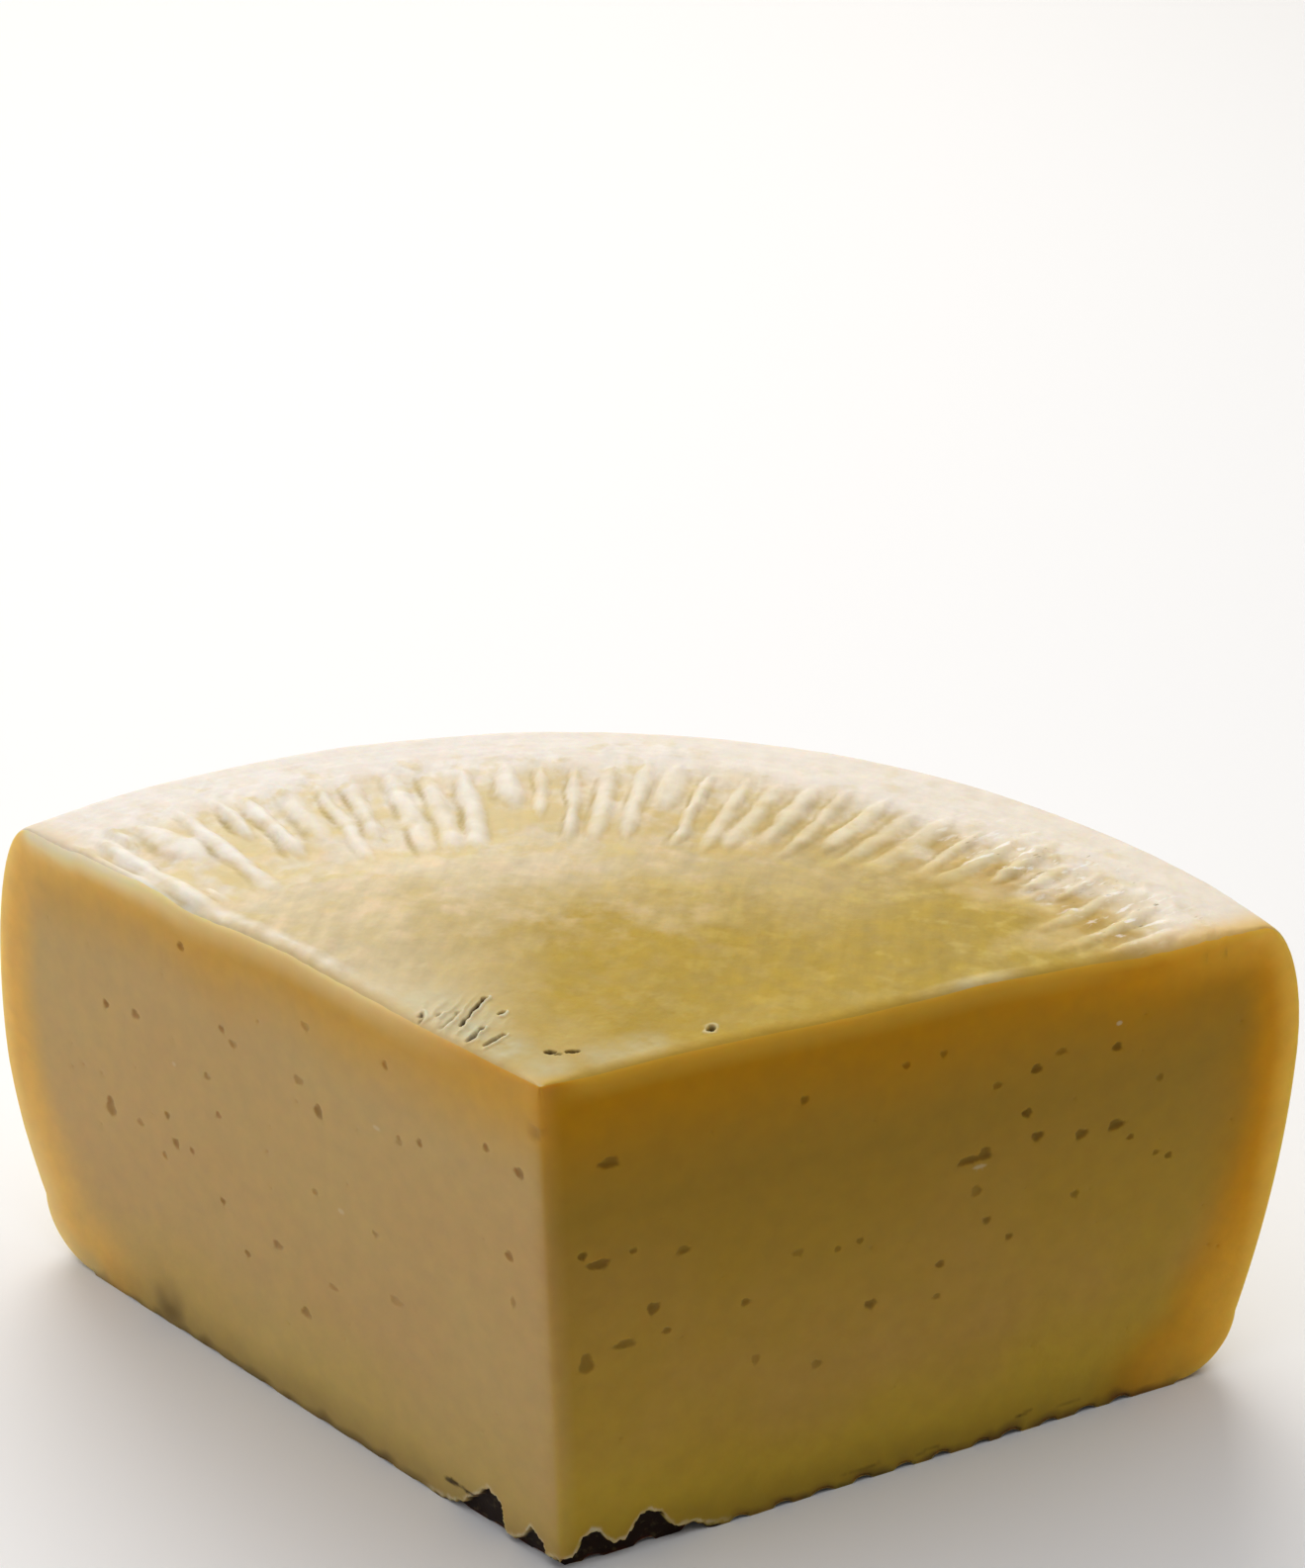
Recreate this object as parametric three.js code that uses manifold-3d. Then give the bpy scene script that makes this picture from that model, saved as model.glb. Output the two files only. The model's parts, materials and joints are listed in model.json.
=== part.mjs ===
// A sector of a basket-pressed wheel of hard sheep's milk cheese, about a third of the wheel,
// standing on its grooved base. Millimetres, +Z up, the tip towards -Y and the heel towards +Y.
// Angles are in degrees round the wheel's axis from +Y, positive towards +X.

import * as THREE from 'three';
import { mergeVertices } from 'three/addons/utils/BufferGeometryUtils.js';
import Module from 'manifold-3d';

// The wheel and its cut; pairs are the values at the left and at the right cut
const sectorAngle = 112;
const half = sectorAngle / 2;
const crownHeight = 102;       // at the wheel's axis
const topEdgeHeight = 100;     // where the top face turns into the shoulder
const topEdgeRadius = [142, 143];
const bulgeRadius = [157.6, 154.6]; // the widest place of the side
const bulgeHeight = [50, 70];
const footRadius = [148.6, 147]; // where the side turns in to the base
const footHeight = 13.2;
const baseRadius = 134;
const edgeLean = 3.4;          // how far the cut edge at the tip leans to +X from top to base
const leanEnds = 155;          // the radius where the lean has faded out
const outOfRoundBy = 0.7;

// The soft unevenness of the top face, and a low swell inside the ridges, towards the left cut
const unevenHeight = 0.5;
const swellRadius = 68;
const swellWidth = 16;
const swellHeight = 1.3;

// The imprint of the basket on the top face: a shallow band with raised radial ridges
const bandInner = 85;
const bandOuter = 128;
const bandMiddle = 108;
const valleyDepth = [0.85, 0.75];
const crestHeight = [0.75, 0.45];
const shorterAtRight = 21;     // the band begins farther out towards the right cut
const crestsRise = [84, 96];   // no crest within the first radius, full height from the second on

// Ridges at both ends of the band: angle and radius of the outer end, the same of the inner end, width
const shownRidges = [
  [-55.5, 131, -55.7, 97, 4.2],
  [-53.3, 128, -53.5, 88, 4.6],
  [-48.9, 128, -47.9, 108, 7.6],
  [-45, 128, -45.3, 85, 4.8],
  [-41.4, 128, -41.6, 110, 4.0],
  [-39, 127, -38.8, 98, 4.6],
  [36.6, 134, 37.6, 112, 4.0],
  [40.2, 129, 40.6, 114, 4.0],
  [42.8, 131, 43.8, 117, 3.4],
  [45.8, 128, 48.2, 104, 4.0],
  [49.6, 130, 53, 101, 4.0],
  [53.7, 128, 55.2, 110, 4.6],
];
const firstDrawn = -35.4;
const lastDrawn = 34.5;
const drawnPitch = 3.7;
const drawnWidth = [3.6, 6];

// The ring grooves that the basket left in the base, shallower at the left
const rings = [6.5, 17.5, 27, 36, 45, 53.8, 62.3, 71.4, 79.2, 88.4, 95.1, 103.9, 112.2, 120.4];
const ringHalfWidth = 2.1;
const ringDepth = [0.45, 1.1];

// Near the tip the dark crust of the base lies back from the cut faces, under a scalloped line:
// distance from the tip, height over the table
const crustLeft = [
  [0, 2.4], [3.9, 2], [4.6, 4.1], [6, 5.5], [7.5, 6.5], [8.5, 4.9], [9.5, 2.7], [12, 1.2], [13.8, 1.2],
  [14.7, 3.5], [15.1, 7.4], [16.1, 8.1], [18.3, 9], [19.7, 7.9], [21.5, 5.6], [23, 4.6], [25, 2.2], [28, 0.9],
];
const crustRight = [
  [0, 2.4], [2.1, 2.9], [3.6, 4.5], [4.4, 6.6], [6, 7.5], [8.1, 6.8], [8.8, 5.1], [10.6, 3.5], [13, 3.6],
  [14.7, 6], [16, 8], [17.4, 8.4], [20.2, 7], [21.2, 5.1], [23.3, 2.4], [26.9, 2.4], [29.4, 1.2],
];
const crustSetBack = 1.5;

// The larger eyes of each cut face: distance from the tip, height over the table, width, tallness
const eyesLeft = [
  [122.5, 45.6, 2.7, 4.6], [112.8, 69.4, 2.7, 2.4], [102.1, 46.1, 2.0, 2.4], [59.1, 71.5, 2.0, 2.9],
  [79.4, 64.8, 2.9, 1.9], [65.3, 24.3, 2.9, 2.5], [73, 36.2, 2.9, 1.9], [95.7, 91.9, 2.0, 2.0],
  [6.2, 82.3, 2.4, 2.0], [10, 63.8, 2.0, 2.2], [88, 58.3, 1.9, 2.0], [39.8, 39.7, 3.6, 2.2],
];
const eyesRight = [
  [9.5, 40.8, 2.5, 3.9], [11.2, 84.1, 3.9, 2.4], [11.4, 64.4, 5.1, 1.9], [19.3, 52.2, 2.4, 2.5],
  [46.4, 56.3, 3.9, 1.7], [63.3, 39.9, 2.7, 2.0], [83.5, 66.1, 5.4, 1.9], [93.9, 72.4, 2.9, 2.4],
  [106.3, 64.9, 2.7, 2.2], [113.7, 64.9, 3.6, 2.4], [97, 67.1, 2.7, 2.0], [112.3, 84.5, 2.2, 2.4],
  [41.8, 44.8, 2.7, 2.0],
];
const eyeDepth = 1.1;

// Where the rows of the skin lie: radii on the top, steps across the ridges, turns of the round edges
const tipRadius = 15;           // within it the rows have fewer points
const innerRows = [9, 20, 32, 44, 56, 66, 76];
const bandRows = [82, 87, 93, 100, 108, 116, 123, 128, 133];
const shoulderTurns = [0, 12, 24, 36, 50, 66, 90];
const sideRows = [0.3, 0.55, 0.8, 1];
const footTurns = [25, 48, 70, 90];

const rad = THREE.MathUtils.degToRad;
const mix = THREE.MathUtils.lerp;
const ease = THREE.MathUtils.smoothstep;
const bell = (x, middle, width) => Math.exp(-(((x - middle) / width) ** 2));

// A repeatable draw between 0 and 1 for the nth thing
function draw(n) {
  const s = Math.sin(n * 12.9898) * 43758.5453;
  return s - Math.floor(s);
}

// A point of the wheel from its radius, angle and height; the edge at the tip leans
function place(r, angle, z) {
  const lean = edgeLean * (0.5 - z / crownHeight) * (1 - r / leanEnds);
  return new THREE.Vector3(r * Math.sin(rad(angle)) + lean, r * Math.cos(rad(angle)), z);
}

// Value of a pair at an angle between the cuts
const across = ([left, right], angle) => mix(left, right, ease(angle, -half, half));

// The ridges: those that show at both sides, and drawn ones between them, a little unevenly
const ridges = shownRidges.map(([angleOut, outer, angleIn, inner, width]) => {
  return { angleOut, outer, angleIn, inner, width };
});
for (let angle = firstDrawn, n = 0; angle < lastDrawn; n++) {
  ridges.push({
    angleOut: angle,
    outer: 125 + 5 * draw(n + 20),
    angleIn: angle + 1.2 * (draw(n + 10) - 0.5),
    inner: bandInner + 3 + 14 * draw(n + 60) + 8 * ease(angle, -10, 40) + (draw(n + 30) > 0.82 ? 12 : 0),
    width: mix(...drawnWidth, draw(n + 90)),
  });
  angle += drawnPitch * mix(0.86, 1.14, draw(n + 50));
}
ridges.sort((a, b) => a.angleOut - b.angleOut);

function angleAt(ridge, r) {
  const along = THREE.MathUtils.clamp((ridge.outer - r) / (ridge.outer - ridge.inner), 0, 1);
  return mix(ridge.angleOut, ridge.angleIn, along);
}

// 1 on the crests, 0 between them
function crestShare(r, angle) {
  let highest = 0;
  for (const ridge of ridges) {
    const aside = Math.abs(rad(angle - angleAt(ridge, r))) * r / (ridge.width / 2);
    if (aside >= 1) continue;
    const present = ease(ridge.outer - r, -2.5, 2) * ease(r - ridge.inner, -2.5, 3);
    highest = Math.max(highest, present * Math.sqrt(1 - aside * aside));
  }
  return highest;
}

// Height of the top face: a low crown, soft unevenness, the shallow band and its ridges
function topHeight(r, angle) {
  const crown = mix(crownHeight, topEdgeHeight, (r / across(topEdgeRadius, angle)) ** 2);
  const waves = Math.sin(r / 17 + angle / 19) * Math.sin(angle / 11 - r / 29);
  const uneven = unevenHeight * waves * ease(r, 4, 30);
  const swell = swellHeight * bell(r, swellRadius, swellWidth) * (1 - ease(angle, -45, 5));
  const inner = bandInner + shorterAtRight * ease(angle, 5, 45);
  const band = ease(r, inner - 5, inner + 14) * (1 - ease(r, bandOuter - 11, bandOuter + 3));
  const crest = crestShare(r, angle);
  const ridge = across(crestHeight, angle) * crest * ease(r, ...crestsRise);
  return crown + uneven + swell + ridge - across(valleyDepth, angle) * band * (1 - crest);
}

// Angles across the sector, in equal steps
function anglesEvenly(steps) {
  return Array.from({ length: steps + 1 }, (_, i) => -half + (sectorAngle * i) / steps);
}

// Angles that follow the ridges at a radius: the valley before each one, then both its shoulders
function anglesByRidge(r) {
  const inside = [];
  ridges.forEach((ridge, i) => {
    const middle = angleAt(ridge, r);
    const before = i > 0 ? angleAt(ridges[i - 1], r) : -half;
    const shoulder = THREE.MathUtils.radToDeg((0.36 * ridge.width) / bandMiddle);
    inside.push((before + middle) / 2, middle - shoulder, middle + shoulder);
  });
  const kept = inside.filter((angle) => Math.abs(angle) < half - 0.4).sort((a, b) => a - b);
  return [-half, ...kept, half];
}

const points = [];
const faces = [];
const addPoint = (r, angle, z) => points.push({ r, angle, z, at: place(r, angle, z) }) - 1;

// Fills the strip between two rows of points, whatever the number of points in each
function zip(rowA, rowB) {
  let i = 0;
  let j = 0;
  while (i < rowA.length - 1 || j < rowB.length - 1) {
    const nextA = i < rowA.length - 1 ? points[rowA[i + 1]].angle : Infinity;
    const nextB = j < rowB.length - 1 ? points[rowB[j + 1]].angle : Infinity;
    if (nextB <= nextA) {
      faces.push([rowA[i], rowB[j + 1], rowB[j]]);
      j++;
    } else {
      faces.push([rowA[i], rowA[i + 1], rowB[j]]);
      i++;
    }
  }
}

// The skin runs in rows from the middle of the top, over the shoulder, down, and in to the base's middle
const tipAngles = anglesEvenly(11);
const faceAngles = anglesEvenly(22);
const rimAngles = anglesEvenly(30);
const rows = [[addPoint(0, 0, crownHeight)]];

const topRow = (r, angles) => {
  rows.push(angles.map((angle) => addPoint(r, angle, topHeight(r, angle))));
};
innerRows.forEach((r) => topRow(r, r < tipRadius ? tipAngles : faceAngles));
bandRows.forEach((r) => topRow(r, anglesByRidge(r)));

// The side isn't perfectly round
const outOfRound = (angle) => outOfRoundBy * Math.sin(rad(3.1 * angle + 40)) * Math.cos(rad(angle)) ** 2;
const sideRow = (profile) => rows.push(rimAngles.map((angle) => {
  const [r, z] = profile(angle);
  return addPoint(r + outOfRound(angle), angle, z);
}));
for (const turn of shoulderTurns) {
  sideRow((angle) => [
    mix(across(topEdgeRadius, angle), across(bulgeRadius, angle), Math.sin(rad(turn))),
    mix(across(bulgeHeight, angle), topEdgeHeight, Math.cos(rad(turn))),
  ]);
}
for (const down of sideRows) {
  sideRow((angle) => [
    mix(across(bulgeRadius, angle), across(footRadius, angle), down ** 2),
    mix(across(bulgeHeight, angle), footHeight, down),
  ]);
}
for (const turn of footTurns) {
  sideRow((angle) => [
    mix(baseRadius, across(footRadius, angle), Math.cos(rad(turn))),
    footHeight * (1 - Math.sin(rad(turn))),
  ]);
}

// The base and its ring grooves
const baseRow = (r, pair) => {
  const angles = r < tipRadius ? tipAngles : faceAngles;
  rows.push(angles.map((angle) => addPoint(r, angle, across(pair, angle))));
};
for (const radius of [...rings].reverse()) {
  baseRow(radius + ringHalfWidth, [0, 0]);
  baseRow(radius, ringDepth);
  baseRow(radius - ringHalfWidth, [0, 0]);
}
rows.push([addPoint(0, 0, 0)]);
for (let i = 1; i < rows.length; i++) zip(rows[i - 1], rows[i]);

// The two flat cuts, each filled between the ends of the rows
for (const side of [-1, 1]) {
  const edge = rows.map((row) => (side < 0 ? row[0] : row[row.length - 1]));
  const outline = edge.map((id) => new THREE.Vector2(points[id].r, points[id].z));
  const outward = place(1, side * (half + 90), 0).sub(place(0, 0, 0));
  for (const corners of THREE.ShapeUtils.triangulateShape(outline, [])) {
    const face = corners.map((corner) => edge[corner]);
    const normal = new THREE.Triangle(...face.map((id) => points[id].at)).getNormal(new THREE.Vector3());
    faces.push(normal.dot(outward) > 0 ? face : face.reverse());
  }
}

const skin = new THREE.BufferGeometry();
skin.setAttribute('position', new THREE.Float32BufferAttribute(points.flatMap((p) => p.at.toArray()), 3));
skin.setIndex(faces.flat());

const wasm = await Module();
wasm.setup();

function solidOf(geometry) {
  const bare = geometry.clone();
  bare.deleteAttribute('normal');
  bare.deleteAttribute('uv');
  const merged = mergeVertices(bare);
  return new wasm.Manifold(new wasm.Mesh({
    numProp: 3,
    vertProperties: new Float32Array(merged.attributes.position.array),
    triVerts: new Uint32Array(merged.index.array),
  }));
}

// Each eye is cut with a small ellipsoid that opens on a cut face
function eyeShape([r, z, width, tall], side) {
  const eye = new THREE.IcosahedronGeometry(1, 1);
  eye.scale(width / 2, eyeDepth, tall / 2);
  eye.rotateZ(rad(90 - side * half));
  eye.translate(...place(r, side * half, z).toArray());
  return eye;
}

// The hollow under a scalloped line, as deep into the cheese as it stands out of the cut face
function crustHollow(line, side) {
  const [first, last] = [line[0], line[line.length - 1]];
  const under = [[last[0], -1], [first[0] - 3, -1], [first[0] - 3, first[1]]];
  const shape = new THREE.Shape([...line, ...under].map(([r, z]) => new THREE.Vector2(r, z)));
  const hollow = new THREE.ExtrudeGeometry(shape, { depth: 2 * crustSetBack, bevelEnabled: false });
  const along = new THREE.Vector3(Math.sin(rad(side * half)), Math.cos(rad(side * half)), 0);
  const through = along.cross(new THREE.Vector3(0, 0, 1));
  const at = hollow.attributes.position;
  for (let i = 0; i < at.count; i++) {
    const depth = through.clone().multiplyScalar(at.getZ(i) - crustSetBack);
    at.setXYZ(i, ...place(at.getX(i), side * half, at.getY(i)).add(depth).toArray());
  }
  return hollow;
}

let sector = solidOf(skin);
sector = sector.subtract(solidOf(crustHollow(crustLeft, -1)));
sector = sector.subtract(solidOf(crustHollow(crustRight, 1)));
for (const eye of eyesLeft) sector = sector.subtract(solidOf(eyeShape(eye, -1)));
for (const eye of eyesRight) sector = sector.subtract(solidOf(eyeShape(eye, 1)));

const cut = sector.getMesh();
const geometry = new THREE.BufferGeometry();
geometry.setAttribute('position', new THREE.Float32BufferAttribute(cut.vertProperties, 3));
geometry.setIndex(new THREE.Uint32BufferAttribute(cut.triVerts, 1));

// The origin goes to the middle of the box, at table height
geometry.computeBoundingBox();
const box = geometry.boundingBox;
geometry.translate(-(box.min.x + box.max.x) / 2, -(box.min.y + box.max.y) / 2, -box.min.z);
geometry.computeVertexNormals();

const paste = new THREE.MeshStandardMaterial({ color: 0xcfae6b, roughness: 0.6, metalness: 0 });
const cheese = new THREE.Mesh(geometry, paste);
cheese.name = 'cheese';

const group = new THREE.Group();
group.add(cheese);

export default group;
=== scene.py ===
import json
import math

import bpy
import numpy as np
from mathutils import Matrix, Vector
from mathutils.geometry import delaunay_2d_cdt

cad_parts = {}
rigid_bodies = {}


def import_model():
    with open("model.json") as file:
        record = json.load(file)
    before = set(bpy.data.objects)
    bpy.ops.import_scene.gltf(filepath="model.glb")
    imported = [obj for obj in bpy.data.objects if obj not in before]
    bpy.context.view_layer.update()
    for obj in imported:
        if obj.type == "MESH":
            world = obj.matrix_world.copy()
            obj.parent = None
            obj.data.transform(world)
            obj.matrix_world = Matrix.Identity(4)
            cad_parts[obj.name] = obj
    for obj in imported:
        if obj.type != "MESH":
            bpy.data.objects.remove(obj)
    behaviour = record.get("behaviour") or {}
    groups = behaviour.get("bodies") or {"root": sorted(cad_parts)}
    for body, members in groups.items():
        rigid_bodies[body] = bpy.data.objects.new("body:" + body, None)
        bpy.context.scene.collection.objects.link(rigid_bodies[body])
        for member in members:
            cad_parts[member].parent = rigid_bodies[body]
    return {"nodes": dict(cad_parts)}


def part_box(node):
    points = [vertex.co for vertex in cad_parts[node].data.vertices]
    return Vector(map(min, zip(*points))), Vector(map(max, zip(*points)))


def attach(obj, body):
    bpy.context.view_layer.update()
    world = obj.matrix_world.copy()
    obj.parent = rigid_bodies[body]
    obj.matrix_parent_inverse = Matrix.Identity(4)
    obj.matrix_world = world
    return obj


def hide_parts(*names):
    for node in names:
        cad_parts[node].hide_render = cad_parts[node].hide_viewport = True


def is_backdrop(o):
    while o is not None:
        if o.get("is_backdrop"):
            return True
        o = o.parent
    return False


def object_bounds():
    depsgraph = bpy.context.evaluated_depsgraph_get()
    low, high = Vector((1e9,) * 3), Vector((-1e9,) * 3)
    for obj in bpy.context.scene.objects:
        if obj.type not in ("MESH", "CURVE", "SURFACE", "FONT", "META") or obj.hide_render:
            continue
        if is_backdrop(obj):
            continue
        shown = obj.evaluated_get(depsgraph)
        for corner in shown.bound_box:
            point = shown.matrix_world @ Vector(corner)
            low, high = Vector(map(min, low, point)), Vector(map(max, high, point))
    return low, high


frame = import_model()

# A sector of an aged, basket-pressed sheep's milk cheese on a pale table.
# Blender works in metres, the sizes below are in millimetres and degrees.
mm = 0.001
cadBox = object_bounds()
print("frame loaded:", sorted(frame["nodes"]))


# Small helpers

def hexToLinear(text):
    channels = [int(text[i:i + 2], 16) / 255 for i in (1, 3, 5)]
    return tuple(c / 12.92 if c <= 0.04045 else ((c + 0.055) / 1.055) ** 2.4 for c in channels) + (1.0,)


def setInputs(tree, node, inputs):
    for key, value in inputs.items():
        if isinstance(value, bpy.types.NodeSocket):
            tree.links.new(value, node.inputs[key])
        else:
            node.inputs[key].default_value = value


def addNode(tree, kind, settings=None, inputs=None):
    node = tree.nodes.new(kind)
    for name, value in (settings or {}).items():
        setattr(node, name, value)
    setInputs(tree, node, inputs or {})
    return node


def addObject(name, data):
    thing = bpy.data.objects.new(name, data)
    bpy.context.scene.collection.objects.link(thing)
    return thing


def mix(a, b, t):
    return a + (b - a) * t


def ease(x, low, high):
    t = np.clip((x - low) / (high - low), 0, 1)
    return t * t * (3 - 2 * t)


def bell(x, middle, width):
    return np.exp(-((x - middle) / width) ** 2)


def draw(n):  # a repeatable draw between 0 and 1 for the nth thing
    s = np.sin(n * 12.9898) * 43758.5453
    return s - np.floor(s)


def softNoise(x, y, seed):  # smooth, between -1 and 1, one bump per unit
    i, j = np.floor(x), np.floor(y)
    u, v = x - i, y - j
    u, v = u * u * (3 - 2 * u), v * v * (3 - 2 * v)
    corner = lambda a, b: draw((i + a) * 1.731 + (j + b) * 57.31 + seed * 7.77)
    low = mix(corner(0, 0), corner(1, 0), u)
    high = mix(corner(0, 1), corner(1, 1), u)
    return mix(low, high, v) * 2 - 1


# The wheel and its cut, with the numbers of the solid

wheel = {
    "axisX": 1.229,       # where the wheel's axis stands in the frame; along Y it is at the tip
    "halfAngle": 56.0,
    "crownHeight": 102.0,
    "topEdgeHeight": 100.0,
    "topEdgeRadius": (142.0, 143.0),  # pairs are the values at the left and at the right cut
    "bulgeRadius": (157.6, 154.6),
    "bulgeHeight": (50.0, 70.0),
    "footRadius": (148.6, 147.0),
    "footHeight": 13.2,
    "baseRadius": 134.0,
    "edgeLean": 3.4,
    "leanEnds": 155.0,
    "outOfRound": 0.7,
    "cutRound": (2.8, 1.0),  # radius of the cut edges, on the top and down the heel
    "tipRound": 0.42,     # how far the upright front edge is blunted
}

topFace = {
    "uneven": 0.5,
    "swellRadius": 68.0,
    "swellWidth": 16.0,
    "swellHeight": 1.3,
    "bandInner": 85.0,
    "bandOuter": 128.0,
    "shorterAtRight": 21.0,
    "valleyDepth": (0.85, 0.75),
    "crestHeight": (0.75, 0.45),
    "ragged": 2.0,        # how far the band's two borders wander
    "drawnPitch": 3.45,
    "drawnWidth": (2.8, 5.6),
    "streakPitch": 2.6,   # oblique streaks that the mat left inside the band
    "streakDepth": 0.13,
    "streakTurn": 11.0,   # from +Y towards +X
    "lumpSize": 9.0,
    "lumpHeight": 0.14,
    "rimLinePitch": 2.3,
    "rimLineDepth": 0.07,
    "tornHeight": 0.6,    # flaky bits at the right of the band
}

# Ridges at both ends of the band: angle and radius of the outer end, the same of the inner end, both widths
shownRidges = [
    (-55.5, 131, -55.7, 97, 4.2, 4.0),
    (-53.3, 128, -53.5, 88, 4.2, 5.0),
    (-51.3, 131, -51.5, 119, 3.2, 2.0),
    (-51.2, 97, -51.4, 88, 2.0, 3.4),
    (-48.9, 128, -47.9, 108, 5.6, 8.8),
    (-45.0, 128, -45.3, 85, 4.4, 5.2),
    (-41.4, 128, -41.6, 110, 4.4, 3.2),
    (-39.0, 127, -38.8, 98, 4.4, 4.8),
    (36.6, 134, 37.6, 112, 4.8, 3.2),
    (40.2, 129, 40.6, 114, 4.4, 3.2),
    (42.8, 131, 43.8, 117, 3.8, 2.6),
    (45.8, 128, 48.2, 104, 4.2, 3.6),
    (49.6, 130, 53.0, 101, 4.6, 3.2),
    (53.7, 128, 55.2, 110, 5.4, 3.4),
]

# The side is hidden in the photo: faint upright prints of the same basket
sideFace = {
    "ribPitch": 3.45,
    "ribHeight": 0.5,
    "lumpHeight": 0.35,
    "plainAtCut": (2.0, 9.0),  # degrees from the cut
}

baseFace = {
    "rings": (6.5, 17.5, 27.0, 36.0, 45.0, 53.8, 62.3, 71.4, 79.2, 88.4, 95.1, 103.9, 112.2, 120.4),
    "ringHalfWidth": 2.1,
    "ringDepth": (0.3, 1.1),
    "nearTip": 34.0,      # within this radius all is dark crust with painted shade of the hollows behind it, and the rows lie closer
    "setBack": 1.5,       # how far the crust lies back from the cut faces, out to the radii below
    "hollowEnds": (27, 31),
    "blend": 7.0,
}

# How high the dark crust of the base, painted with the shade of the hollows behind it, shows under each cut
# face near the tip: distance from the tip, height
crustAndShadeLeft = [
    (0, 2.4), (3.9, 2), (4.6, 4.1), (6, 5.5), (7.5, 6.5), (8.5, 4.9), (9.5, 2.7), (12, 1.2), (13.8, 1.2),
    (14.7, 3.5), (15.1, 7.4), (16.1, 8.1), (18.3, 9), (19.7, 7.9), (21.5, 5.6), (23, 4.6), (25, 2.2),
    (28, 0.9), (31, 0.4), (36, 0),
]
crustAndShadeRight = [
    (0, 2.4), (2.1, 2.9), (3.6, 4.5), (4.4, 6.6), (6, 7.5), (8.1, 6.8), (8.8, 5.1), (10.6, 3.5),
    (13, 3.6), (14.7, 6), (16, 8), (17.4, 8.4), (20.2, 7), (21.2, 5.1), (23.3, 2.4), (25, 2.5),
    (26.9, 2.4), (29.4, 1.2), (33, 0.5), (38, 0),
]

meshSteps = {
    "top": 0.85,
    "tipOfTop": 0.27,     # round the slits and the pinhole, between the radii below
    "tipRadii": (9.5, 36.5),
    "side": 2.3,
    "sideRows": (30, 26, 14),  # round the shoulder, down the heel, round the foot
    "grooves": 0.5,
    "base": 0.9,
    "alongGrooves": 3.0,
    "tipOfBase": 0.8,
    "face": 1.35,
    "lowFace": 0.7,       # along the lower edge of the cut faces
    "frontEdge": 0.8,
}

# Slits, a crack and a pinhole in the top, from the wheel's axis: start, end, half width, depth, darkness
topSlits = [
    ((-17.4, 18.2), (-16.7, 21.2), 0.30, 1.0, 1.0),
    ((-16.6, 21.6), (-15.2, 27.2), 0.24, 0.9, 1.0),
    ((-14.9, 13.4), (-14.1, 15.9), 0.22, 0.7, 0.8),
    ((-13.7, 16.6), (-13.5, 17.5), 0.42, 1.0, 1.0),
    ((-11.9, 12.0), (-9.4, 15.7), 0.30, 0.8, 0.55),
    ((-11.4, 22.4), (-11.2, 23.0), 0.34, 0.6, 0.7),
    ((-24.6, 18.8), (-25.0, 20.7), 0.20, 0.6, 0.8),
    ((-21.9, 20.4), (-21.7, 21.0), 0.30, 0.4, 0.35),
    ((-20.2, 17.0), (-18.9, 22.0), 0.14, 0.5, 0.3),
    ((-0.9, 11.5), (-0.1, 11.7), 0.40, 0.7, 1.0),
    ((0.4, 11.1), (1.3, 11.0), 0.16, 0.4, 0.7),
    ((2.2, 11.9), (4.2, 12.3), 0.24, 0.7, 1.0),
    ((24.85, 22.8), (24.95, 24.6), 0.5, 1.8, 1.0),
]
slitLips = {
    "away": 0.8, "width": 0.36, "height": 0.42,
    "count": 9,           # the first slits have a pale rib on their right side
    "ring": 12,           # the pinhole has one all round
    "foldTurn": 12.0, "foldPitch": 2.3, "foldHeight": 0.16,  # soft folds between the slits
}

# Grey bloom on the top near the tip: middle, radius, strength
blooms = [
    ((-17.0, 17.5), 9.0, 0.9), ((-9.0, 10.5), 8.0, 0.75), ((-25.0, 24.0), 7.0, 0.6), ((-1.0, 6.0), 7.0, 0.55),
    ((9.0, 12.0), 6.0, 0.45), ((14.5, 15.5), 6.0, 0.5), ((-31.0, 26.0), 5.0, 0.3),
]

# Eyes of each cut face: distance from the tip, height, width, tallness, darkness
eyesLeft = [
    (122.5, 45.5, 2.7, 4.6, 1.0), (111.5, 71, 2.6, 2.2, 0.8), (121, 69.5, 1.9, 2.1, 1.0),
    (104, 51.5, 1.8, 1.9, 0.7), (102, 46, 2.1, 2.4, 0.8), (58.5, 72, 2.2, 3.0, 1.0),
    (66, 24, 2.8, 2.5, 0.8), (57.5, 34, 2.6, 1.4, 0.4), (73, 36, 2.9, 1.9, 0.7),
    (82.5, 29.5, 1.8, 1.6, 0.7), (60.5, 89, 2.4, 1.8, 0.4), (6, 82.5, 2.4, 2.2, 0.9),
    (9.5, 64, 2.0, 2.2, 0.8), (88, 58.5, 1.7, 1.7, 0.5), (40, 39.5, 3.6, 2.0, 0.4),
    (1.6, 92.5, 3.4, 2.8, 0.8), (89, 38.5, 1.5, 1.5, 0.5), (61, 53.5, 1.7, 1.5, 0.4),
    (31, 77.5, 1.5, 2.0, 0.6), (14, 84, 1.6, 1.9, 0.6), (90.5, 66, 2.0, 1.7, 0.4),
    (63.5, 76.5, 2.6, 1.8, 0.5), (82, 76.5, 2.4, 1.7, 0.5), (85, 78.5, 1.8, 1.6, 0.5),
    (39, 90, 1.5, 2.1, 0.6), (113, 46, 2.2, 1.8, 0.4), (36.5, 75.5, 1.5, 2.2, 0.4),
    (9, 54.5, 1.4, 2.4, 0.4), (44.5, 52, 2.0, 1.5, 0.3), (97, 46.5, 1.6, 1.6, 0.4),
    (106, 41.5, 1.6, 1.8, 0.4), (95.5, 92, 2.0, 2.0, 0.8),
]
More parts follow.
